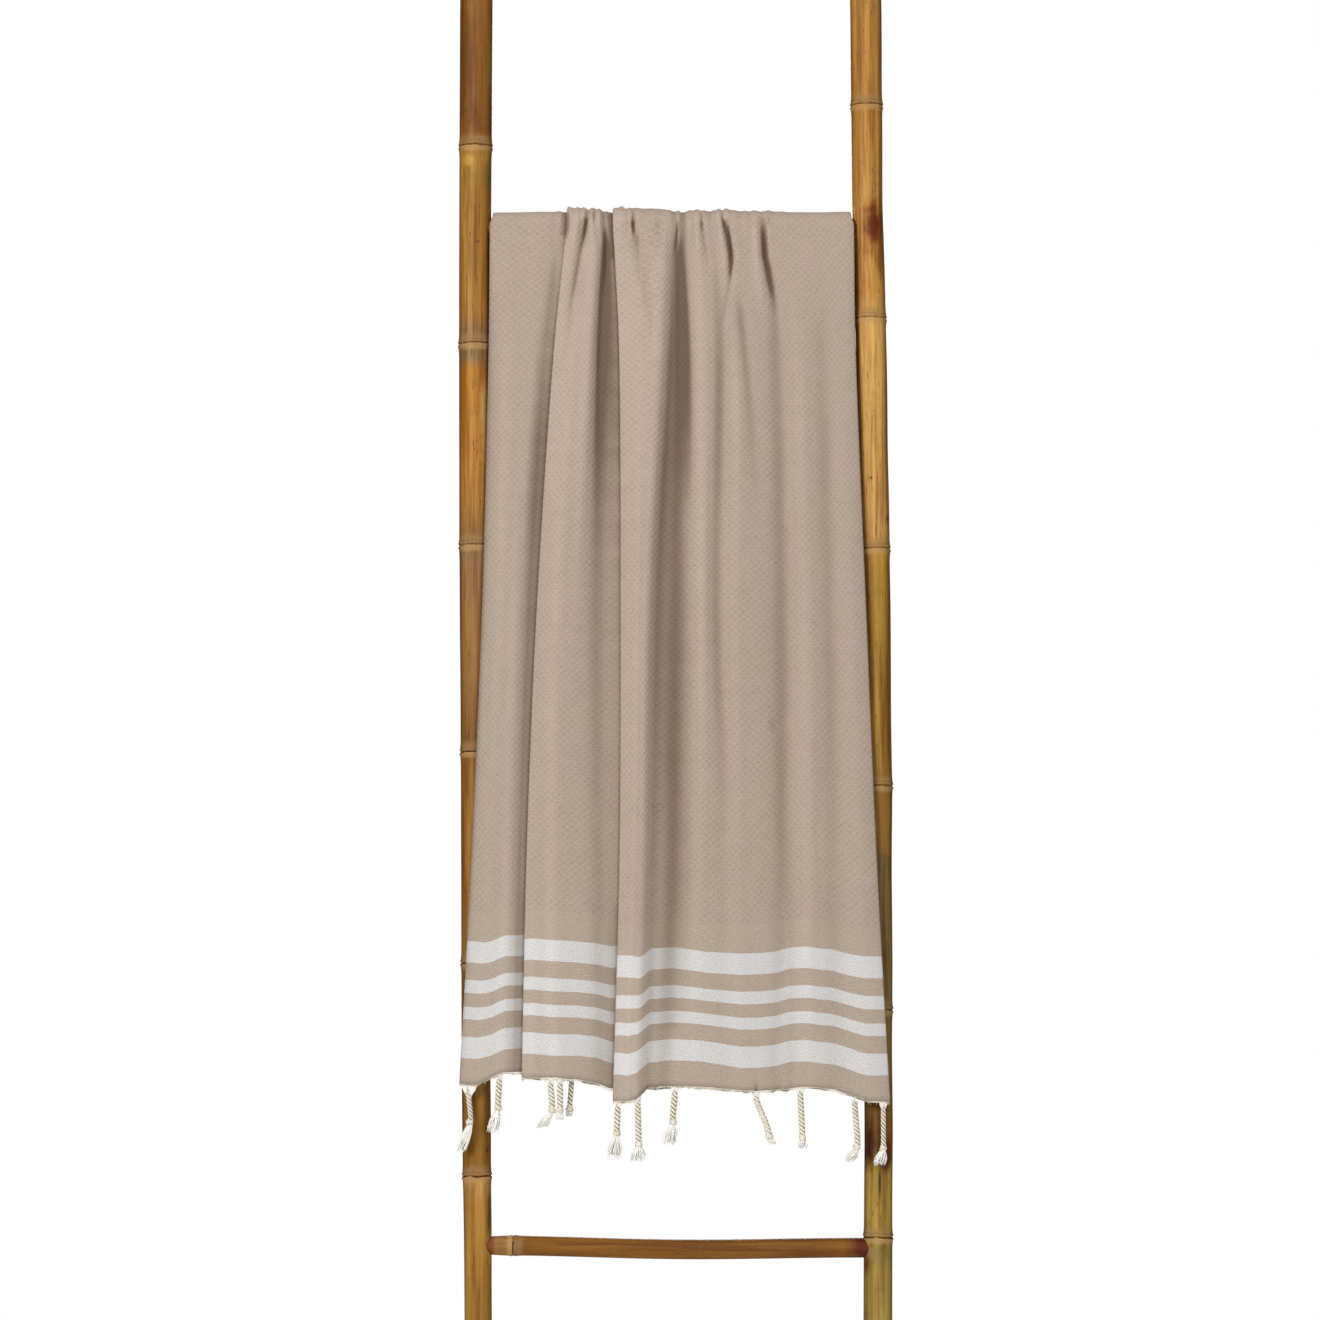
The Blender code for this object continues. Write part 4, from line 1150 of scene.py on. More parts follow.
# %% [markdown]
# A row of the cloth is the curve at one distance up, with its creases and a slow, small
# unevenness that hand-hung cotton always has. The layer's floor gives the row its place:
# straight up the front, round the rung, and plumb down the back.

# %% Rows of weft
HEM_RIPPLE = 0.9
HEM_FADE = 34.0
EDGE_CALM = 12.0
LOWEST = 0.2


def floor_frame(up):
    """The layer floor's place (along, out), outward direction and up direction."""
    if up <= FRONT_DROP:
        out = curve_through(FLOOR_STATIONS, FLOOR_OUT, up)
        return (TOP_RUNG - FRONT_DROP + up, out), (0.0, 1.0), (1.0, 0.0)
    angle = min((up - FRONT_DROP) / OVER_RUNG, BACK_TURN)
    place = (TOP_RUNG + OVER_RUNG * math.sin(angle), OVER_RUNG * math.cos(angle))
    if angle < BACK_TURN:
        return place, (math.sin(angle), math.cos(angle)), (0.0, 0.0)
    down = up - RUNG_BACK
    place = (place[0] - down * COS_LEAN, place[1] - down * SIN_LEAN)
    return place, (SIN_LEAN, -COS_LEAN), (COS_LEAN, SIN_LEAN)


def ripple(x, length, row, seed=0.0):
    """Smooth chance between -1 and 1 along a row."""
    return np.array([noise.noise(Vector((place / length, row, seed))) for place in x])


def hem_ripple(x, up):
    near = min(abs(up), abs(BACK_HEM - up))
    return HEM_RIPPLE * (1.0 - smooth(near / HEM_FADE)) * ripple(x, 9.0, 2.0)


def cloth_row(up):
    """The middle of the cloth at one distance up: x, rise and dip of every column."""
    x, rise, dip = along_curve(guides(up)).T
    uneven = 0.7 * ripple(x, 55.0, up / 120.0, 4.0) + 0.245 * ripple(x, 17.0, up / 46.0, 11.0)
    raised = np.maximum(rise + crease_rise(CREASES, x, up) + uneven, np.minimum(rise, LOWEST))
    share = smooth((COLUMN_PLACES[OUTER_COLUMNS - 1] - COLUMN_PLACES) / EDGE_CALM)
    return np.stack([x, blend(rise, raised, share), dip + hem_ripple(x, up)], axis=1)


def on_cloth(x, rise, dip, up):
    """World points of places given on the row at distance up."""
    (along, out), normal, upward = floor_frame(up)
    return world(x, along + rise * normal[0] + dip * upward[0], out + rise * normal[1] + dip * upward[1])


print("row at the rung starts at", on_cloth(*cloth_row(FRONT_DROP)[0], FRONT_DROP).round(3))

# %% [markdown]
# Deep in a fold the cloth gets painted shade, and on a crest a painted highlight: its colour
# is darkened or lightened by how far each point lies below or above the cloth around it. The
# sheet carries that depth, worked out row by row: the outermost cloth is averaged over a
# hand's breadth, and the depth is measured from there. A short table of shades, in the form
# of the creases, evens out what the rule gets wrong, and another one adds the painted dark
# lines of the tucks at the rung.

# %% Painted shade in the folds
SHADES = creases(
    ("left_pleat_line", 6, (-125, 950, -1.6), (-128.1, 925, -2.2), (-133.4, 881, -2.4),
     (-139.3, 814, -2), (-144.5, 744, -1.4), (-150.1, 653, -1.2), (-156.4, 540, -0.7),
     (-162, 428, -0.9), (-166.4, 316, -0.5), (-169.8, 204, -0.7)),
    ("centre_pleat_line", 4, (-70.6, 925, -1.6), (-67.6, 881, -1.6), (-65.7, 814, -1.5), (-64, 744, -1),
     (-64, 653, -0.8), (-63.5, 540, -0.6), (-63.2, 428, -1), (-64, 316, -1), (-65.1, 204, -1.2)),
    ("deep_middle", 6, (-77, 955, 0), (-78.8, 925, 1.6), (-81.5, 881, 1.8), (-85.5, 814, 0.9),
     (-92, 744, 0.6), (-95, 680, 0)),
    ("second_valley", 15, (-12, 760, 0), (-10, 653, 1.1), (-8.6, 540, 1.5), (-8, 428, 2),
     (-7, 316, 1.8), (-4, 204, 1.6), (-4, 60, 1)),
    ("second_shoulder", 12, (14, 620, 0), (15, 540, 1.8), (17, 428, 2.2), (18, 316, 2.2),
     (18, 204, 2), (18, 60, 1)),
    ("valley_shoulder", 6, (3, 956, 0), (4.5, 930, 2.6), (7, 890, 3.2), (13, 814, 3), (15.5, 744, 3),
     (16, 653, 2), (18, 560, 0)),
    ("leg_line", 6, (44, 900, 0), (45, 814, 1), (46, 744, 0.8), (43.5, 653, 0.3), (43, 560, 0)),
    ("slope_line", 8, (68, 900, 0), (73, 860, 1.6), (78, 814, 1.3), (86, 744, 1.2), (92, 653, 0.6),
     (96, 540, 0)),
    ("fan_left", 8, (-104, 930, 0), (-110, 890, 2.6), (-118, 840, 1.6), (-124, 780, 0)),
    ("panel_left", 12, (-150, 860, 0), (-156, 744, 1.4), (-162, 653, 1.8), (-168, 560, 0.6),
     (-170, 480, 0)),
    ("pinch_line", 2, (87, 16, 0), (88.2, 6, 1.6), (88.3, 0, 3)),
)
# Lines of painted shade along the tucks at the rung.
TUCK_SHADES = creases(
    ("first", 1.9, (-121, 978, 0.3), (-121.3, 966, 1), (-122, 954, 0.9), (-124.6, 936, 0)),
    ("fan", 1.9, (-101.6, 978, 0.3), (-101.8, 964, 1), (-103.2, 950, 0.8), (-107.3, 930, 0)),
    ("short", 1.8, (-92.4, 980, 0.3), (-92.4, 970, 0.9), (-92, 960, 0)),
    ("middle", 2.6, (-80.8, 962, 0), (-79.5, 945, 0.8), (-79.8, 915, 0.9), (-82.5, 880, 0.4),
     (-85, 840, 0)),
    ("centre", 2, (-48.6, 980, 0.2), (-48.4, 966, 0.9), (-47.6, 955, 0.7), (-41, 936, 0)),
    ("valley", 1.9, (2.2, 972, 0), (1.9, 958, 0.8), (0.6, 944, 0.6), (-2.5, 925, 0)),
    ("ridge", 1.8, (28.6, 978, 0.2), (28.9, 967, 0.7), (30, 955, 0)),
    ("beside_v", 1.8, (50.6, 978, 0.2), (52.6, 966, 0.8), (55.4, 955, 0.4), (57.5, 946, 0)),
    ("deep_v", 2.3, (56.5, 970, 0), (59.5, 950, 0.9), (62, 932, 1), (62.6, 915, 0.5), (61, 895, 0)),
    ("slanted_v", 2.3, (98, 968, 0), (98.6, 950, 0.9), (100.4, 926, 1), (104.5, 905, 0.6), (109, 880, 0)),
    ("beside_slanted", 1.8, (104.5, 978, 0.2), (105.2, 967, 0.6), (105.6, 957, 0)),
)
TUCK_SHADE_SINK = 2.6
AROUND = 24.0
CLOSE_AROUND = 6.0
CLOSE_SHARE = 0.35
CREASE_SHARE = 0.25
NEAR_RUNG = 0.7
GATHERED_FROM = 560.0
GATHERED_OVER = 320.0
GRID_PITCH = 1.0
UNKNOWN = -1e3


def softened(face, reach):
    """A row's face averaged over a reach in millimetres, nearest points most."""
    offsets = np.arange(-3 * reach, 3 * reach + GRID_PITCH, GRID_PITCH)
    weights = np.exp(-(offsets / reach) ** 2)
    margin = len(weights)
    padded = np.pad(face, margin, "edge")
    return np.convolve(padded, weights / weights.sum(), "same")[margin:-margin]


def painted_shade_depth(row, up):
    """Painted shade of a row: how far each point lies below the outer layer around it, in mm, with the
    shade and tuck tables added and more of it near the rung.
    """
    x, rise, _ = row.T
    outer = x[:OUTER_COLUMNS]
    grid = np.arange(outer.min(), outer.max() + GRID_PITCH, GRID_PITCH)
    spots = ((outer - grid[0]) / GRID_PITCH).round().astype(int)
    face = np.full(len(grid), UNKNOWN)
    np.maximum.at(face, spots, rise[:OUTER_COLUMNS])
    known = face > UNKNOWN
    face = np.interp(grid, grid[known], face[known])
    depth = np.interp(x, grid, softened(face, AROUND)) - rise
    depth += CLOSE_SHARE * (np.interp(x, grid, softened(face, CLOSE_AROUND)) - rise)
    depth += CREASE_SHARE * np.maximum(-crease_rise(CREASES, x, up), 0.0)
    depth += crease_rise(SHADES, x, up) + TUCK_SHADE_SINK * crease_rise(TUCK_SHADES, x, up)
    gathered = smooth((up - GATHERED_FROM) / GATHERED_OVER) * (1.0 - smooth((up - FRONT_DROP) / ARC_LENGTH))
    depth *= 1.0 + NEAR_RUNG * gathered
    depth[OUTER_COLUMNS:] = 0.0
    return depth


print("deepest at the middle:", round(float(painted_shade_depth(cloth_row(540.0), 540.0).max()), 1), "mm")

# %% [markdown]
# The weft doesn't run dead level through the folds: it sags in one and rides up in the next,
# which shows in the stripes. The sags are given at the top and the lowest stripe, and the
# V of the UV map takes them up.

# %% Sag of the weft
Sag = namedtuple("Sag", "x high low")
SAGS = table(
    Sag,
    (-239, -5, -2), (-216, -3.5, -1), (-202, 0, 2.5), (-176, 1, 0.5), (-160, -1, 0), (-136, 1, 2.5),
    (-109, 0.5, 0.5), (-90, -1, -1.5), (-72, -1.5, -1), (-63, -4.5, -2.5), (-50, -4.5, -1),
    (-40, -0.5, -2.5), (-34, 1, 0), (0, 1, -1.5), (31, 5, -1), (70, 3.5, 2), (110, 1.5, 0.5),
    (125, -1.5, -2.5), (156, 0, -0.5), (186, 0, -1), (203, -3, -0.5), (234, -4, -2),
)
SAG_LOW_AT = 27.0
SAG_HIGH_AT = 153.0
SAG_GONE_AT = 600.0


def weft_sag(x, up):
    stations, high, low = zip(*SAGS)
    share = smooth((up - SAG_LOW_AT) / (SAG_HIGH_AT - SAG_LOW_AT))
    kept = 1.0 - smooth((up - SAG_HIGH_AT) / (SAG_GONE_AT - SAG_HIGH_AT))
    return blend(np.interp(x, stations, low), np.interp(x, stations, high), share) * kept


print("largest sag:", max(abs(sag.high) for sag in SAGS), "mm")

# %% [markdown]
# ## Weaving the sheet
#
# Rows and columns make one sheet of quads, thickened both ways to 1.5 mm. Rows are closest
# over the rung, where the gathers are, and wide apart on the back drop. The sheet is built
# in Python rather than by a tree, because its UV map has to follow warp and weft exactly.

# %% Cloth sheet
RowRun = namedtuple("RowRun", "start end pitch")
ROW_RUNS = table(
    RowRun,
    (0.0, 820.0, 6.6),
    (820.0, FRONT_DROP - 30.0, 5.0),
    (FRONT_DROP - 30.0, RUNG_BACK + 20.0, 2.9),
    (RUNG_BACK + 20.0, RUNG_BACK + 110.0, 6.5),
    (RUNG_BACK + 110.0, BACK_HEM, 15.0),
)
UPS = [0.0]
for run in ROW_RUNS:
    UPS += evenly(run.start, run.end, round((run.end - run.start) / run.pitch))


def sheet_mesh(name, rows, finish, turned=False):
    """Smooth quads through rows of points; turned puts the sheet's other side out."""
    count = rows.shape[1]
    starts = [i * count + j for i in range(len(rows) - 1) for j in range(count - 1)]
    quads = [(start, start + 1, start + count + 1, start + count) for start in starts]
    if turned:
        quads = [quad[::-1] for quad in quads]
    mesh = bpy.data.meshes.new(name)
    mesh.from_pydata(rows.reshape(-1, 3).tolist(), [], quads)
    mesh.materials.append(finish)
    mesh.shade_smooth()
    return mesh


def thickened(name, mesh, thickness):
    """The mesh as a new object, thickened both ways for good."""
    sheet = add_object(name, mesh)
    solid = sheet.modifiers.new("thickness", "SOLIDIFY")
    solid.thickness = thickness * MM
    solid.offset = 0.0
    made = baked(sheet)
    sheet.modifiers.remove(solid)
    sheet.data = made
    return sheet


def woven_sheet(name, ups, finish):
    """The cloth through the rows at the given distances, with its UV map in metres."""
    rows = [cloth_row(up) for up in ups]
    mesh = sheet_mesh(name, np.array([on_cloth(*row.T, up) for row, up in zip(rows, ups)]), finish)
    drawn = np.concatenate([up + weft_sag(row[:, 0], up) for row, up in zip(rows, ups)])
    flat = np.stack([np.tile(COLUMN_PLACES, len(ups)), drawn], axis=1) * MM
    corner = np.empty(len(mesh.loops), np.int32)
    mesh.loops.foreach_get("vertex_index", corner)
    mesh.uv_layers.new(name="cloth").data.foreach_set("uv", flat[corner].astype(np.float32).ravel())
    # The depth that the painted shade and painted highlight read.
    carry(mesh, "fold_shade", np.concatenate([painted_shade_depth(row, up) for row, up in zip(rows, ups)]))
    # The painted shade along the tucks, carried for the finish.
    tuck_shades = np.array([crease_rise(TUCK_SHADES, row[:, 0], up) for row, up in zip(rows, ups)])
    tuck_shades[:, OUTER_COLUMNS:] = 0.0
    carry(mesh, "tuck", tuck_shades.ravel())
    return thickened(name, mesh, CLOTH)


print(len(UPS), "rows of", len(COLUMN_PLACES), "columns")

# %% [markdown]
# ## The weave
#
# The body of the towel is honeycomb weave: small raised diamonds, 8 mm from one to the next,
# in soft beige cotton. Near each hem it turns to plain weave, with four white stripes. Both
# patterns read the UV map, so they bend and narrow with the folds as real thread does. The
# stripes are steps along V from the hem, the diamonds are where two cosines cancel.

# %% Cotton finish
CELL = 0.008
RIB = 0.0016
PLAIN_TOP = 0.184
PLAIN_FADE = 0.002
STRIPE_REACH = 0.2
Stripe = namedtuple("Stripe", "low high")
STRIPES = table(Stripe, (0.0265, 0.05), (0.068, 0.082), (0.0963, 0.1108), (0.1296, 0.1531))
# Painted shade in the folds, painted highlight on the crests and painted shade along the tucks: the depths
# in mm where they start and end, and their tones.
SHADE_NONE = -0.6
SHADE_FULL = 8.0
HIGHLIGHT_FULL = -4.0
FOLD_SHADE_TONE = (0.36, 0.31, 0.27)
CREST_HIGHLIGHT_TONE = (1.10, 1.10, 1.10)
TUCK_SHADE_TONE = (0.56, 0.46, 0.40)
BEIGE = dye(190, 173, 158)
BEIGE_DARK = dye(175, 158, 143)
BEIGE_PLAIN = dye(189, 173, 157)
WHITE_COTTON = dye(219, 219, 218)

cotton = Finish("honeycomb_cotton", 0.92, 0.25)
flat_place = cotton.node("ShaderNodeUVMap", uv_map="cloth")
across = cotton.node("ShaderNodeSeparateXYZ", {0: flat_place})
upward = across.twin("Y")
from_hem = upward.maths("MINIMUM", BACK_HEM * MM - upward)


def speckled(scale, detail, *factors):
    """Grain on the flat cloth, drawn out by factors where they are given."""
    vector = cotton.stretched(flat_place, *factors) if factors else flat_place
    return cotton.grain(vector, scale, detail, 0.6)


def wave(place, length, operation="COSINE"):
    return (place * (2 * math.pi / length)).maths(operation)


thread = speckled(1.0, 2.0, 130.0, 900.0, 1.0)
warp = speckled(1.0, 2.0, 900.0, 90.0, 1.0)
blush = speckled(1.0, 3.0, 24.0, 9.0, 1.0)
worn = speckled(70.0, 3.0)

lattice = abs(wave(across, CELL) + wave(upward, CELL)).between(1.35, 0.0)
honeycomb = (from_hem + (thread - 0.5) * PLAIN_FADE).between(PLAIN_TOP, PLAIN_TOP + PLAIN_FADE)
rib = (wave(upward, RIB, "SINE") + 1.0) * 0.5
clear = 0.30 + worn.between(0.3, 0.7) * 0.6
weave = cotton.mix(1.0 - (1.0 - lattice) * clear, BEIGE_DARK, BEIGE)
weave = cotton.wash(weave, thread, 0.35, 0.7, 0.35, BEIGE_DARK)
weave = cotton.wash(weave, wave(upward, CELL / 2), 0.2, 1.0, 0.28, BEIGE_DARK)
plain = cotton.wash(BEIGE_PLAIN, thread, 0.35, 0.65, 0.5, dye(172, 156, 139))
slub = cotton.wash(WHITE_COTTON, thread, 0.45, 0.7, 0.5, dye(203, 204, 203))
bands = [(0.0, BLACK)]
for stripe in STRIPES:
    bands += [(stripe.low / STRIPE_REACH, WHITE), (stripe.high / STRIPE_REACH, BLACK)]
striped = cotton.ramp((from_hem + (warp - 0.5) * 0.0012) / STRIPE_REACH, bands, "CONSTANT")
colour = cotton.mix(striped, cotton.mix(honeycomb, plain, weave), slub)
colour = cotton.tint(colour, speckled(9.0, 3.0), 0.35, 0.7, 0.16, (0.86, 0.84, 0.82))
colour = cotton.tint(colour, speckled(740.0, 2.0), 0.40, 0.60, 0.64, (0.72, 0.70, 0.68))
warmer = cotton.mix(0.6, colour, (1.0, 0.985, 0.955, 1.0), "MULTIPLY")
cooler = cotton.mix(0.6, colour, (1.0, 0.965, 0.985, 1.0), "MULTIPLY")
colour = cotton.mix(blush.between(0.35, 0.65), warmer, cooler)
# Painted shade: the cloth is darkened by how deep each point lies in its fold.
fold_shade = cotton.carried("fold_shade")
colour = cotton.tint(colour, fold_shade, SHADE_NONE, SHADE_FULL, 1.0, FOLD_SHADE_TONE)
# Painted highlight: the cloth is lightened where it stands above the cloth around it.
colour = cotton.tint(colour, fold_shade, SHADE_NONE, HIGHLIGHT_FULL, 1.0, CREST_HIGHLIGHT_TONE)
# Painted shade: dark lines along the tucks at the rung.
colour = cotton.tint(colour, cotton.carried("tuck"), 0.1, 0.95, 1.0, TUCK_SHADE_TONE)
cotton.set("Base Color", colour)
cotton.set("Sheen Weight", 0.08)
cotton.set("Sheen Roughness", 0.5)
cotton.relief(lattice * honeycomb * 0.6 + rib * 0.2 + thread * 0.2 + warp * 0.1, 0.0004)
print("stripes from the hem:", [(round(s.low * 1000), round(s.high * 1000)) for s in STRIPES], "mm")

# %% Weave the towel
towel = woven_sheet("hammam_towel", UPS, cotton.material)
hand_over(towel, "towel")

# %% [markdown]
# ## Hem edging
#
# Below each hem a few rows of cream warp are left unwoven and rolled into a narrow, ragged
# edge. It is a strip of the same sheet just past the hem, with loose fibres sticking out of
# it. The fibres are one short hair, scattered by a tree along the strip's lower edge. Yarn
# carries its crown, which is low in a groove of the twist and high on loose ends. Where the
# crown is low the finish paints shade, a brown for the shadow in the groove.

# %% Cream yarn
FIBRE_CROWN = 0.75
KNOT_CROWN = 0.8
FRAYED_CROWN = 1.5

yarn = Finish("cream_yarn", 0.9, 0.3)
yarn_spot = yarn.place()
strand = yarn.grain(yarn_spot, 1400.0, 2.0, 0.6)
crown = yarn.carried("crown")
yarn_tone = yarn.wash(
    dye(243, 237, 222), yarn.grain(yarn_spot, 160.0, 3.0, 0.6), 0.35, 0.7, 1.0, dye(228, 217, 194)
)
yarn_tone = yarn.wash(yarn_tone, strand, 0.55, 0.75, 0.3, dye(205, 188, 160))
# Painted shade: where the crown is low, in the grooves of the twist, the yarn is darkened to brown.
yarn_tone = yarn.mix(crown.between(0.0, 0.7), dye(142, 124, 98), yarn_tone)
yarn_tone = yarn.wash(yarn_tone, crown, 1.1, 1.6, 1.0, dye(252, 250, 245))
yarn.set("Base Color", yarn_tone)
yarn.set("Sheen Weight", 0.15)
yarn.relief(strand, 0.0003)


def crowned(graph, geometry, crown):
    """Stores how far out of the twist the yarn lies."""
    real = graph.node("GeometryNodeRealizeInstances", {"Geometry": geometry})
    return stored(graph, real, "crown", crown)


def drawn_vector(graph, ends, seed):
    inputs = {0: ends[0], 1: ends[1], "Seed": seed}
    return graph.node("FunctionNodeRandomValue", inputs, data_type="FLOAT_VECTOR")


def scattered(graph, given, piece, turns, sizes, second_seed, crown):
    """Ends a tree with copies of a piece on its points, turned and sized by their own draws."""
    points = graph.node("GeometryNodeMeshToPoints", {"Mesh": given["Geometry"]})
    turn = drawn_vector(graph, turns, given["Seed"])
    size = drawn_vector(graph, sizes, given["Seed"] + second_seed)
    inputs = {"Points": points, "Instance": piece, "Rotation": turn, "Scale": size}
    placed = graph.node("GeometryNodeInstanceOnPoints", inputs)
    return finish_tree(graph, crowned(graph, placed, crown), given["Finish"])


def fibre_tree():
    """Short hairs scattered on points."""
    sizes = {"Length": "Float", "Thickness": "Float", "Seed": "Int", "Finish": "Material"}
    graph, given = geometry_tree("edge_fibres", **sizes)
    end = graph.node("ShaderNodeCombineXYZ", {"Z": given["Length"] * -1.0})
    line = graph.node("GeometryNodeCurvePrimitiveLine", {"End": end})
    hair = swept(graph, line, 3, given["Thickness"])
    turns = ((-0.9, -0.8, -3.1), (0.9, 0.8, 3.1))
    sizes = ((0.8, 0.8, 0.3), (1.3, 1.3, 1.25))
    return scattered(graph, given, hair, turns, sizes, 5.0, FIBRE_CROWN)


FIBRES = fibre_tree()
print("cream yarn and fibre tree ready")

# %% Edging strips
EDGE_ROWS = (0.3, 1.0, 1.8)
EDGE_RAGGED = 1.2
EDGE_THICKNESS = 1.1
EDGE_PATCH = 21.0
EDGE_SPECK = 5.0
FIBRE_LENGTH = 2.8
FIBRE_THICKNESS = 0.15
FIBRES_PER_COLUMN = 2
HEMS = (("fringe_front", 0.0), ("fringe_back", BACK_HEM))


def edge_crown(x):
    """Crown in patches along the edge, which the finish turns brown where it is low and cream where it is
    high.
    """
    patch = ripple(x, EDGE_PATCH, 7.0) + 0.5 * ripple(x, EDGE_SPECK, 3.0)
    return 0.36 + 0.75 * patch


def edging(name, hem):
    ragged = random.Random(round(hem) + 3)
    row = cloth_row(hem)
    x, rise, dip = row.T
    torn = [ragged.uniform(-0.4, 1.0) * EDGE_RAGGED for _ in row]
    rows = np.array([on_cloth(x, rise, dip - distance, hem) for distance in EDGE_ROWS[:-1]])
    lower = on_cloth(x, rise, dip - EDGE_ROWS[-1] - torn, hem)
    mesh = sheet_mesh(name, np.concatenate([rows, lower[None]]), yarn.material, turned=hem == 0.0)
    carry(mesh, "crown", np.tile(edge_crown(x), len(EDGE_ROWS)))
    strip = thickened(name, mesh, EDGE_THICKNESS)
    spots = []
    for start, end in zip(lower, lower[1:]):
        spots += [blend(start, end, ragged.random()) for _ in range(FIBRES_PER_COLUMN)]
    sizes = {"Length": FIBRE_LENGTH * MM, "Thickness": FIBRE_THICKNESS * MM, "Seed": round(hem) + 1}
    fibre_spots = path_mesh("spots", [np.array(spots)])
    return strip, grow(name + "_fibres", FIBRES, fibre_spots, Finish=yarn.material, **sizes)


fringe_pieces = {}
for node, hem in HEMS:
    fringe_pieces[node] = list(edging(node.replace("fringe", "edging"), hem))
    print([piece.name for piece in fringe_pieces[node]])

# %% [markdown]
# ## Tassels
#
# Each tassel is a bundle of warp ends: a few threads drawn together from the hem, twisted
# into a three-ply cord, tied in a knot, and left to fray below it. The path of every cord
# comes from a table with a row for each tassel. One tree lays plies round a path and gives
# them thickness. With a single ply it also makes the drawn-in threads and the frayed ends.

# %% Tassel table
STRIP_DEPTH = 2.3
SET_BACK = 3.2
SET_BACK_WITHIN = 9.0
Tassel = namedtuple("Tassel", "x outer cord tail drift tail_drift spread girth")
FRONT_TASSELS = table(
    Tassel,
    (-229, True, 39, 30, 3, -10, 5.5, 0.8), (-194.5, True, 36, 24, -1.5, -5, 7.5, 1),
    (-138, True, 34, 17, 2, -12, 6.5, 1), (-127.5, True, 33, 9, 0, -0.5, 4, 1),
    (-115, False, 37, 7, -2, -1, 3.6, 0.85), (-64, True, 34, 26, -1, -3, 8.5, 1),
    (-42, True, 50, 17, 1, -1.5, 9, 1), (-1, True, 38, 22, -2.5, -3, 9, 1),
    (88, True, 47, 8, 14, 4, 4.5, 1), (137, True, 53, 10, 2, 0, 6, 1),
    (197, True, 54, 14, 3, -8, 7, 0.95), (228.5, True, 49, 17, 0, -4, 7, 0.8),
)
BACK_TASSELS = [
    Tassel(
        BACK_LEFT + 16.0 + 38.0 * index, index % 3 != 1, 44.0 + 4.0 * math.sin(2.1 * index), 18.0,
        2.5 * math.sin(1.7 * index), 3.0 * math.cos(2.3 * index), 6.0, 1.0,
    )
    for index in range(12)
]


def hem_place(x, outer, row):
    """The outermost point of a layer at x, as (rise, dip)."""
    layer = row[:OUTER_COLUMNS] if outer else row[OUTER_COLUMNS:]
    found = []
    for start, end in zip(layer, layer[1:]):
        if min(start[0], end[0]) <= x < max(start[0], end[0]):
            found.append(blend(start, end, (x - start[0]) / (end[0] - start[0])))
    return max(found, key=lambda place: place[1])[1:]


def tassel_place(tassel, row, down, aside=0.0, forward=0.0):
    """A ladder place at a distance down a tassel from its hem."""
    rise, dip = hem_place(tassel.x, tassel.outer, row)
    cord_share = min(down / tassel.cord, 1.0)
    tail_share = max(down - tassel.cord, 0.0) / tassel.tail
    across = tassel.x + tassel.drift * smooth(cord_share) + tassel.tail_drift * tail_share + aside
    set_back = 0.0 if tassel.outer else SET_BACK * smooth(down / SET_BACK_WITHIN)
    return across, rise - set_back + forward, dip - STRIP_DEPTH - down


print(len(FRONT_TASSELS), "tassels in front and", len(BACK_TASSELS), "behind")

# %% [markdown]
# The plies wind round the path in a helix in the level plane, because cords hang nearly
# plumb. The helix opens over the first millimetres, where the plies leave the hem.

# %% The ply tree
HELIX_OPENS = 0.005


def ply_tree():
    sizes = dict.fromkeys(("Lay", "Winding", "Thickness", "Step", "Crown"), "Float")
    graph, given = geometry_tree("plied_yarn", **sizes, Plies="Int", Sides="Int", Finish="Material")
    path = graph.node("GeometryNodeMeshToCurve", {"Mesh": given["Geometry"]})
    fine = graph.node("GeometryNodeResampleCurve", {"Curve": path, "Length": given["Step"]}, mode="LENGTH")
    inputs = {"Geometry": fine, "Amount": given["Plies"]}
    copies = graph.node("GeometryNodeDuplicateElements", inputs, domain="SPLINE")
    length = graph.node("GeometryNodeSplineParameter", output="Length")
    ply = copies.twin("Duplicate Index") / given["Plies"]
    angle = (length / given["Lay"] + ply) * (2 * math.pi)
    thickness = recalled(graph, "thickness")
    opened = length.between(0.0, HELIX_OPENS) * given["Winding"] * thickness
    around = {"X": angle.maths("COSINE") * opened, "Y": angle.maths("SINE") * opened}
    offset = graph.node("ShaderNodeCombineXYZ", around)
    marked = stored(graph, copies, "outward", offset, "FLOAT_VECTOR")
    wound = graph.node("GeometryNodeSetPosition", {"Geometry": marked, "Offset": offset})
    plied = swept(graph, wound, given["Sides"], given["Thickness"], thickness)
    # How far a ply faces outward, which the finish turns into painted shade in the grooves.
    outward = graph.vectors("NORMALIZE", recalled(graph, "outward", "FLOAT_VECTOR"))
    facing = graph.vectors("DOT_PRODUCT", outward, graph.node("GeometryNodeInputNormal"), output="Value")
    return finish_tree(graph, crowned(graph, plied, facing + given["Crown"]), given["Finish"])


PLIES = ply_tree()
print("ply tree:", len(PLIES.nodes), "nodes")

# %% [markdown]
# The paths are plain rows of points. A cord runs from the hem to its knot, drawn-in threads
# close up from a stretch of the hem, widest at the left corner, and frayed strands spread
# below the knot as a brush does. Each point has its own share of the yarn's thickness.

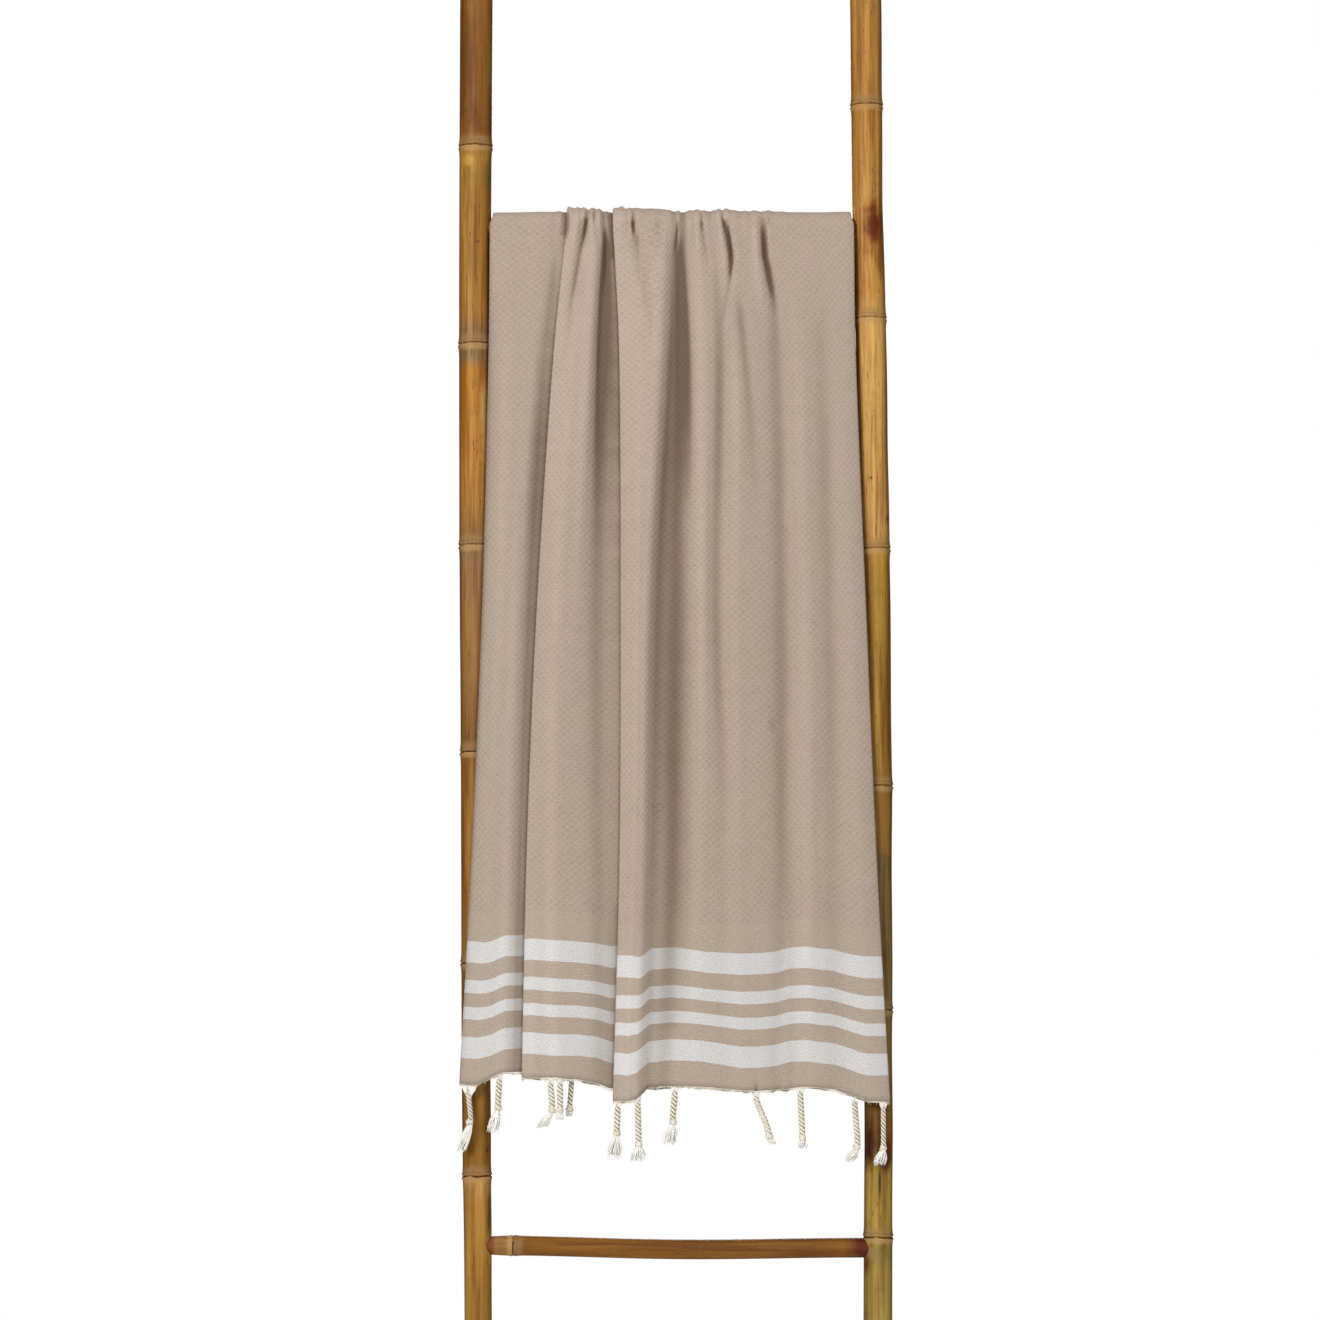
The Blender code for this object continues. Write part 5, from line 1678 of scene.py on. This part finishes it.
# %% Paths of the yarn
PATH_STEP = 2.0
CORD_THIN = 0.75
CORD_FULL_AT = 10.0
CORD_PAST = 3.0
Drawn = namedtuple("Drawn", "threads reach shift depth")
DRAWN_IN = Drawn(9, 4.2, 0.0, 8.0)
DRAWN_CORNER = Drawn(18, 8.5, 1.5, 14.0)
DRAWN_SHARES = (0.0, 0.35, 0.7, 1.0)
DRAWN_THICKNESS = 1.3
STRANDS = 54
KNOT_SPREAD = 2.4
FRAYED_FLATTER = 0.55
FRAYED_THICKNESS = (1.25, 1.35, 1.3, 1.2, 1.05, 0.85, 0.5)


def cord_paths(tassels, row, hem):
    paths, sizes = [], []
    for tassel in tassels:
        downs = np.arange(1.0, tassel.cord + CORD_PAST, PATH_STEP)
        paths.append(np.array([on_cloth(*tassel_place(tassel, row, down), hem) for down in downs]))
        sizes += [tassel.girth * blend(CORD_THIN, 1.0, min(down / CORD_FULL_AT, 1.0)) for down in downs]
    return paths, sizes


def drawn_paths(tassels, row, hem):
    """Threads drawn in from the hem to the start of each cord."""
    paths, sizes = [], []
    for tassel in tassels:
        drawn = DRAWN_CORNER if tassel is FRONT_TASSELS[0] else DRAWN_IN
        for side in np.linspace(-1.0, 1.0, drawn.threads):
            for_hem = tassel._replace(x=tassel.x + side * drawn.reach + drawn.shift)
            start = tassel_place(for_hem, row, -1.2)
            end = tassel_place(tassel, row, drawn.depth, side * 1.6, 1.2 * math.cos(3.0 * side))
            points = []
            for share in DRAWN_SHARES:
                eased = (smooth(share), share ** 0.8, share)
                points.append(on_cloth(*(blend(*three) for three in zip(start, end, eased)), hem))
            paths.append(np.array(points))
            sizes += [DRAWN_THICKNESS] * len(points)
    return paths, sizes


def frayed_paths(tassels, row, hem, seed):
    """Loose strands below each knot, spreading as a brush does."""
    draws = random.Random(seed)
    paths, sizes = [], []
    for tassel in tassels:
        for _ in range(STRANDS):
            angle = draws.uniform(0.0, 2 * math.pi)
            reach = math.sqrt(draws.random())
            length = tassel.tail * draws.uniform(0.72, 1.08)
            bend = draws.uniform(-1.2, 1.2)
            points = []
            for share in np.linspace(0.0, 1.0, len(FRAYED_THICKNESS)):
                spread = blend(KNOT_SPREAD, tassel.spread, smooth(share * 1.3)) * reach
                aside = spread * math.cos(angle) + bend * math.sin(4.0 * share)
                forward = FRAYED_FLATTER * spread * math.sin(angle) + 0.6 * bend * math.sin(3.0 * share)
                place = tassel_place(tassel, row, tassel.cord + 1.0 + length * share, aside, forward)
                points.append(on_cloth(*place, hem))
            paths.append(np.array(points))
            sizes += FRAYED_THICKNESS
    return paths, sizes


print("yarn paths ready:", STRANDS, "strands below each knot")

# %% [markdown]
# The knot is the same cord wrapped once and a half round itself. One tree makes it as a
# short spiral and sets a copy on the end of every cord, each turned its own way.

# %% The knot tree
WRAPS = 1.6
WRAP_CLOSES = 0.8


def knot_tree():
    sizes = dict.fromkeys(("Radius", "Thickness", "Height"), "Float")
    graph, given = geometry_tree("tassel_knots", **sizes, Seed="Int", Finish="Material")
    inputs = {
        "Resolution": 18, "Rotations": WRAPS, "Height": given["Height"],
        "Start Radius": given["Radius"], "End Radius": given["Radius"] * WRAP_CLOSES,
    }
    wrap = swept(graph, graph.node("GeometryNodeCurveSpiral", inputs), 7, given["Thickness"])
    turns = ((-0.3, -0.45, -3.1), (0.3, 0.45, 3.1))
    sizes = ((0.9, 0.9, 0.9), (1.15, 1.1, 1.1))
    return scattered(graph, given, wrap, turns, sizes, 3.0, KNOT_CROWN)


KNOTS = knot_tree()
print("knot tree:", len(KNOTS.nodes), "nodes")

# %% Hang the tassels
PLIED = {
    "Lay": 13.5 * MM, "Winding": 2.15 * MM, "Thickness": 1.6 * MM, "Step": 0.9 * MM, "Crown": 0.0,
    "Sides": 7, "Plies": 3,
}
PLAIN = {
    "Lay": 1.0, "Winding": 0.0, "Thickness": 0.5 * MM, "Step": 3.0 * MM, "Crown": FRAYED_CROWN,
    "Sides": 4, "Plies": 1,
}
KNOT = {"Radius": 2.7 * MM, "Thickness": 1.8 * MM, "Height": 4.2 * MM, "Seed": 4}


def spun(name, kind, paths, sizes):
    mesh = path_mesh(name + "_paths", paths, thickness=sizes)
    return grow(name, PLIES, mesh, Finish=yarn.material, **kind)


for (node, hem), tassels, seed in zip(HEMS, (FRONT_TASSELS, BACK_TASSELS), (11, 12)):
    row = cloth_row(hem)
    side = node.replace("fringe_", "")
    paths, sizes = cord_paths(tassels, row, hem)
    knot_spots = path_mesh("knot_spots", [np.array([path[-1] for path in paths])])
    fringe_pieces[node] += [
        spun("cords_" + side, PLIED, paths, sizes),
        spun("drawn_threads_" + side, PLAIN, *drawn_paths(tassels, row, hem)),
        spun("frayed_ends_" + side, PLAIN, *frayed_paths(tassels, row, hem, seed)),
        grow("knots_" + side, KNOTS, knot_spots, Finish=yarn.material, **KNOT),
    ]
    for piece in fringe_pieces[node]:
        hand_over(piece, node)

# %% [markdown]
# ## The fringes
#
# The towel is a draped sheet, cut 1.0 by 1.88 m, with its fringes on it. Here the pieces of
# both fringes are put together in one list.

# %% The fringes together
fringe_pieces["fringe_front"] + fringe_pieces["fringe_back"]
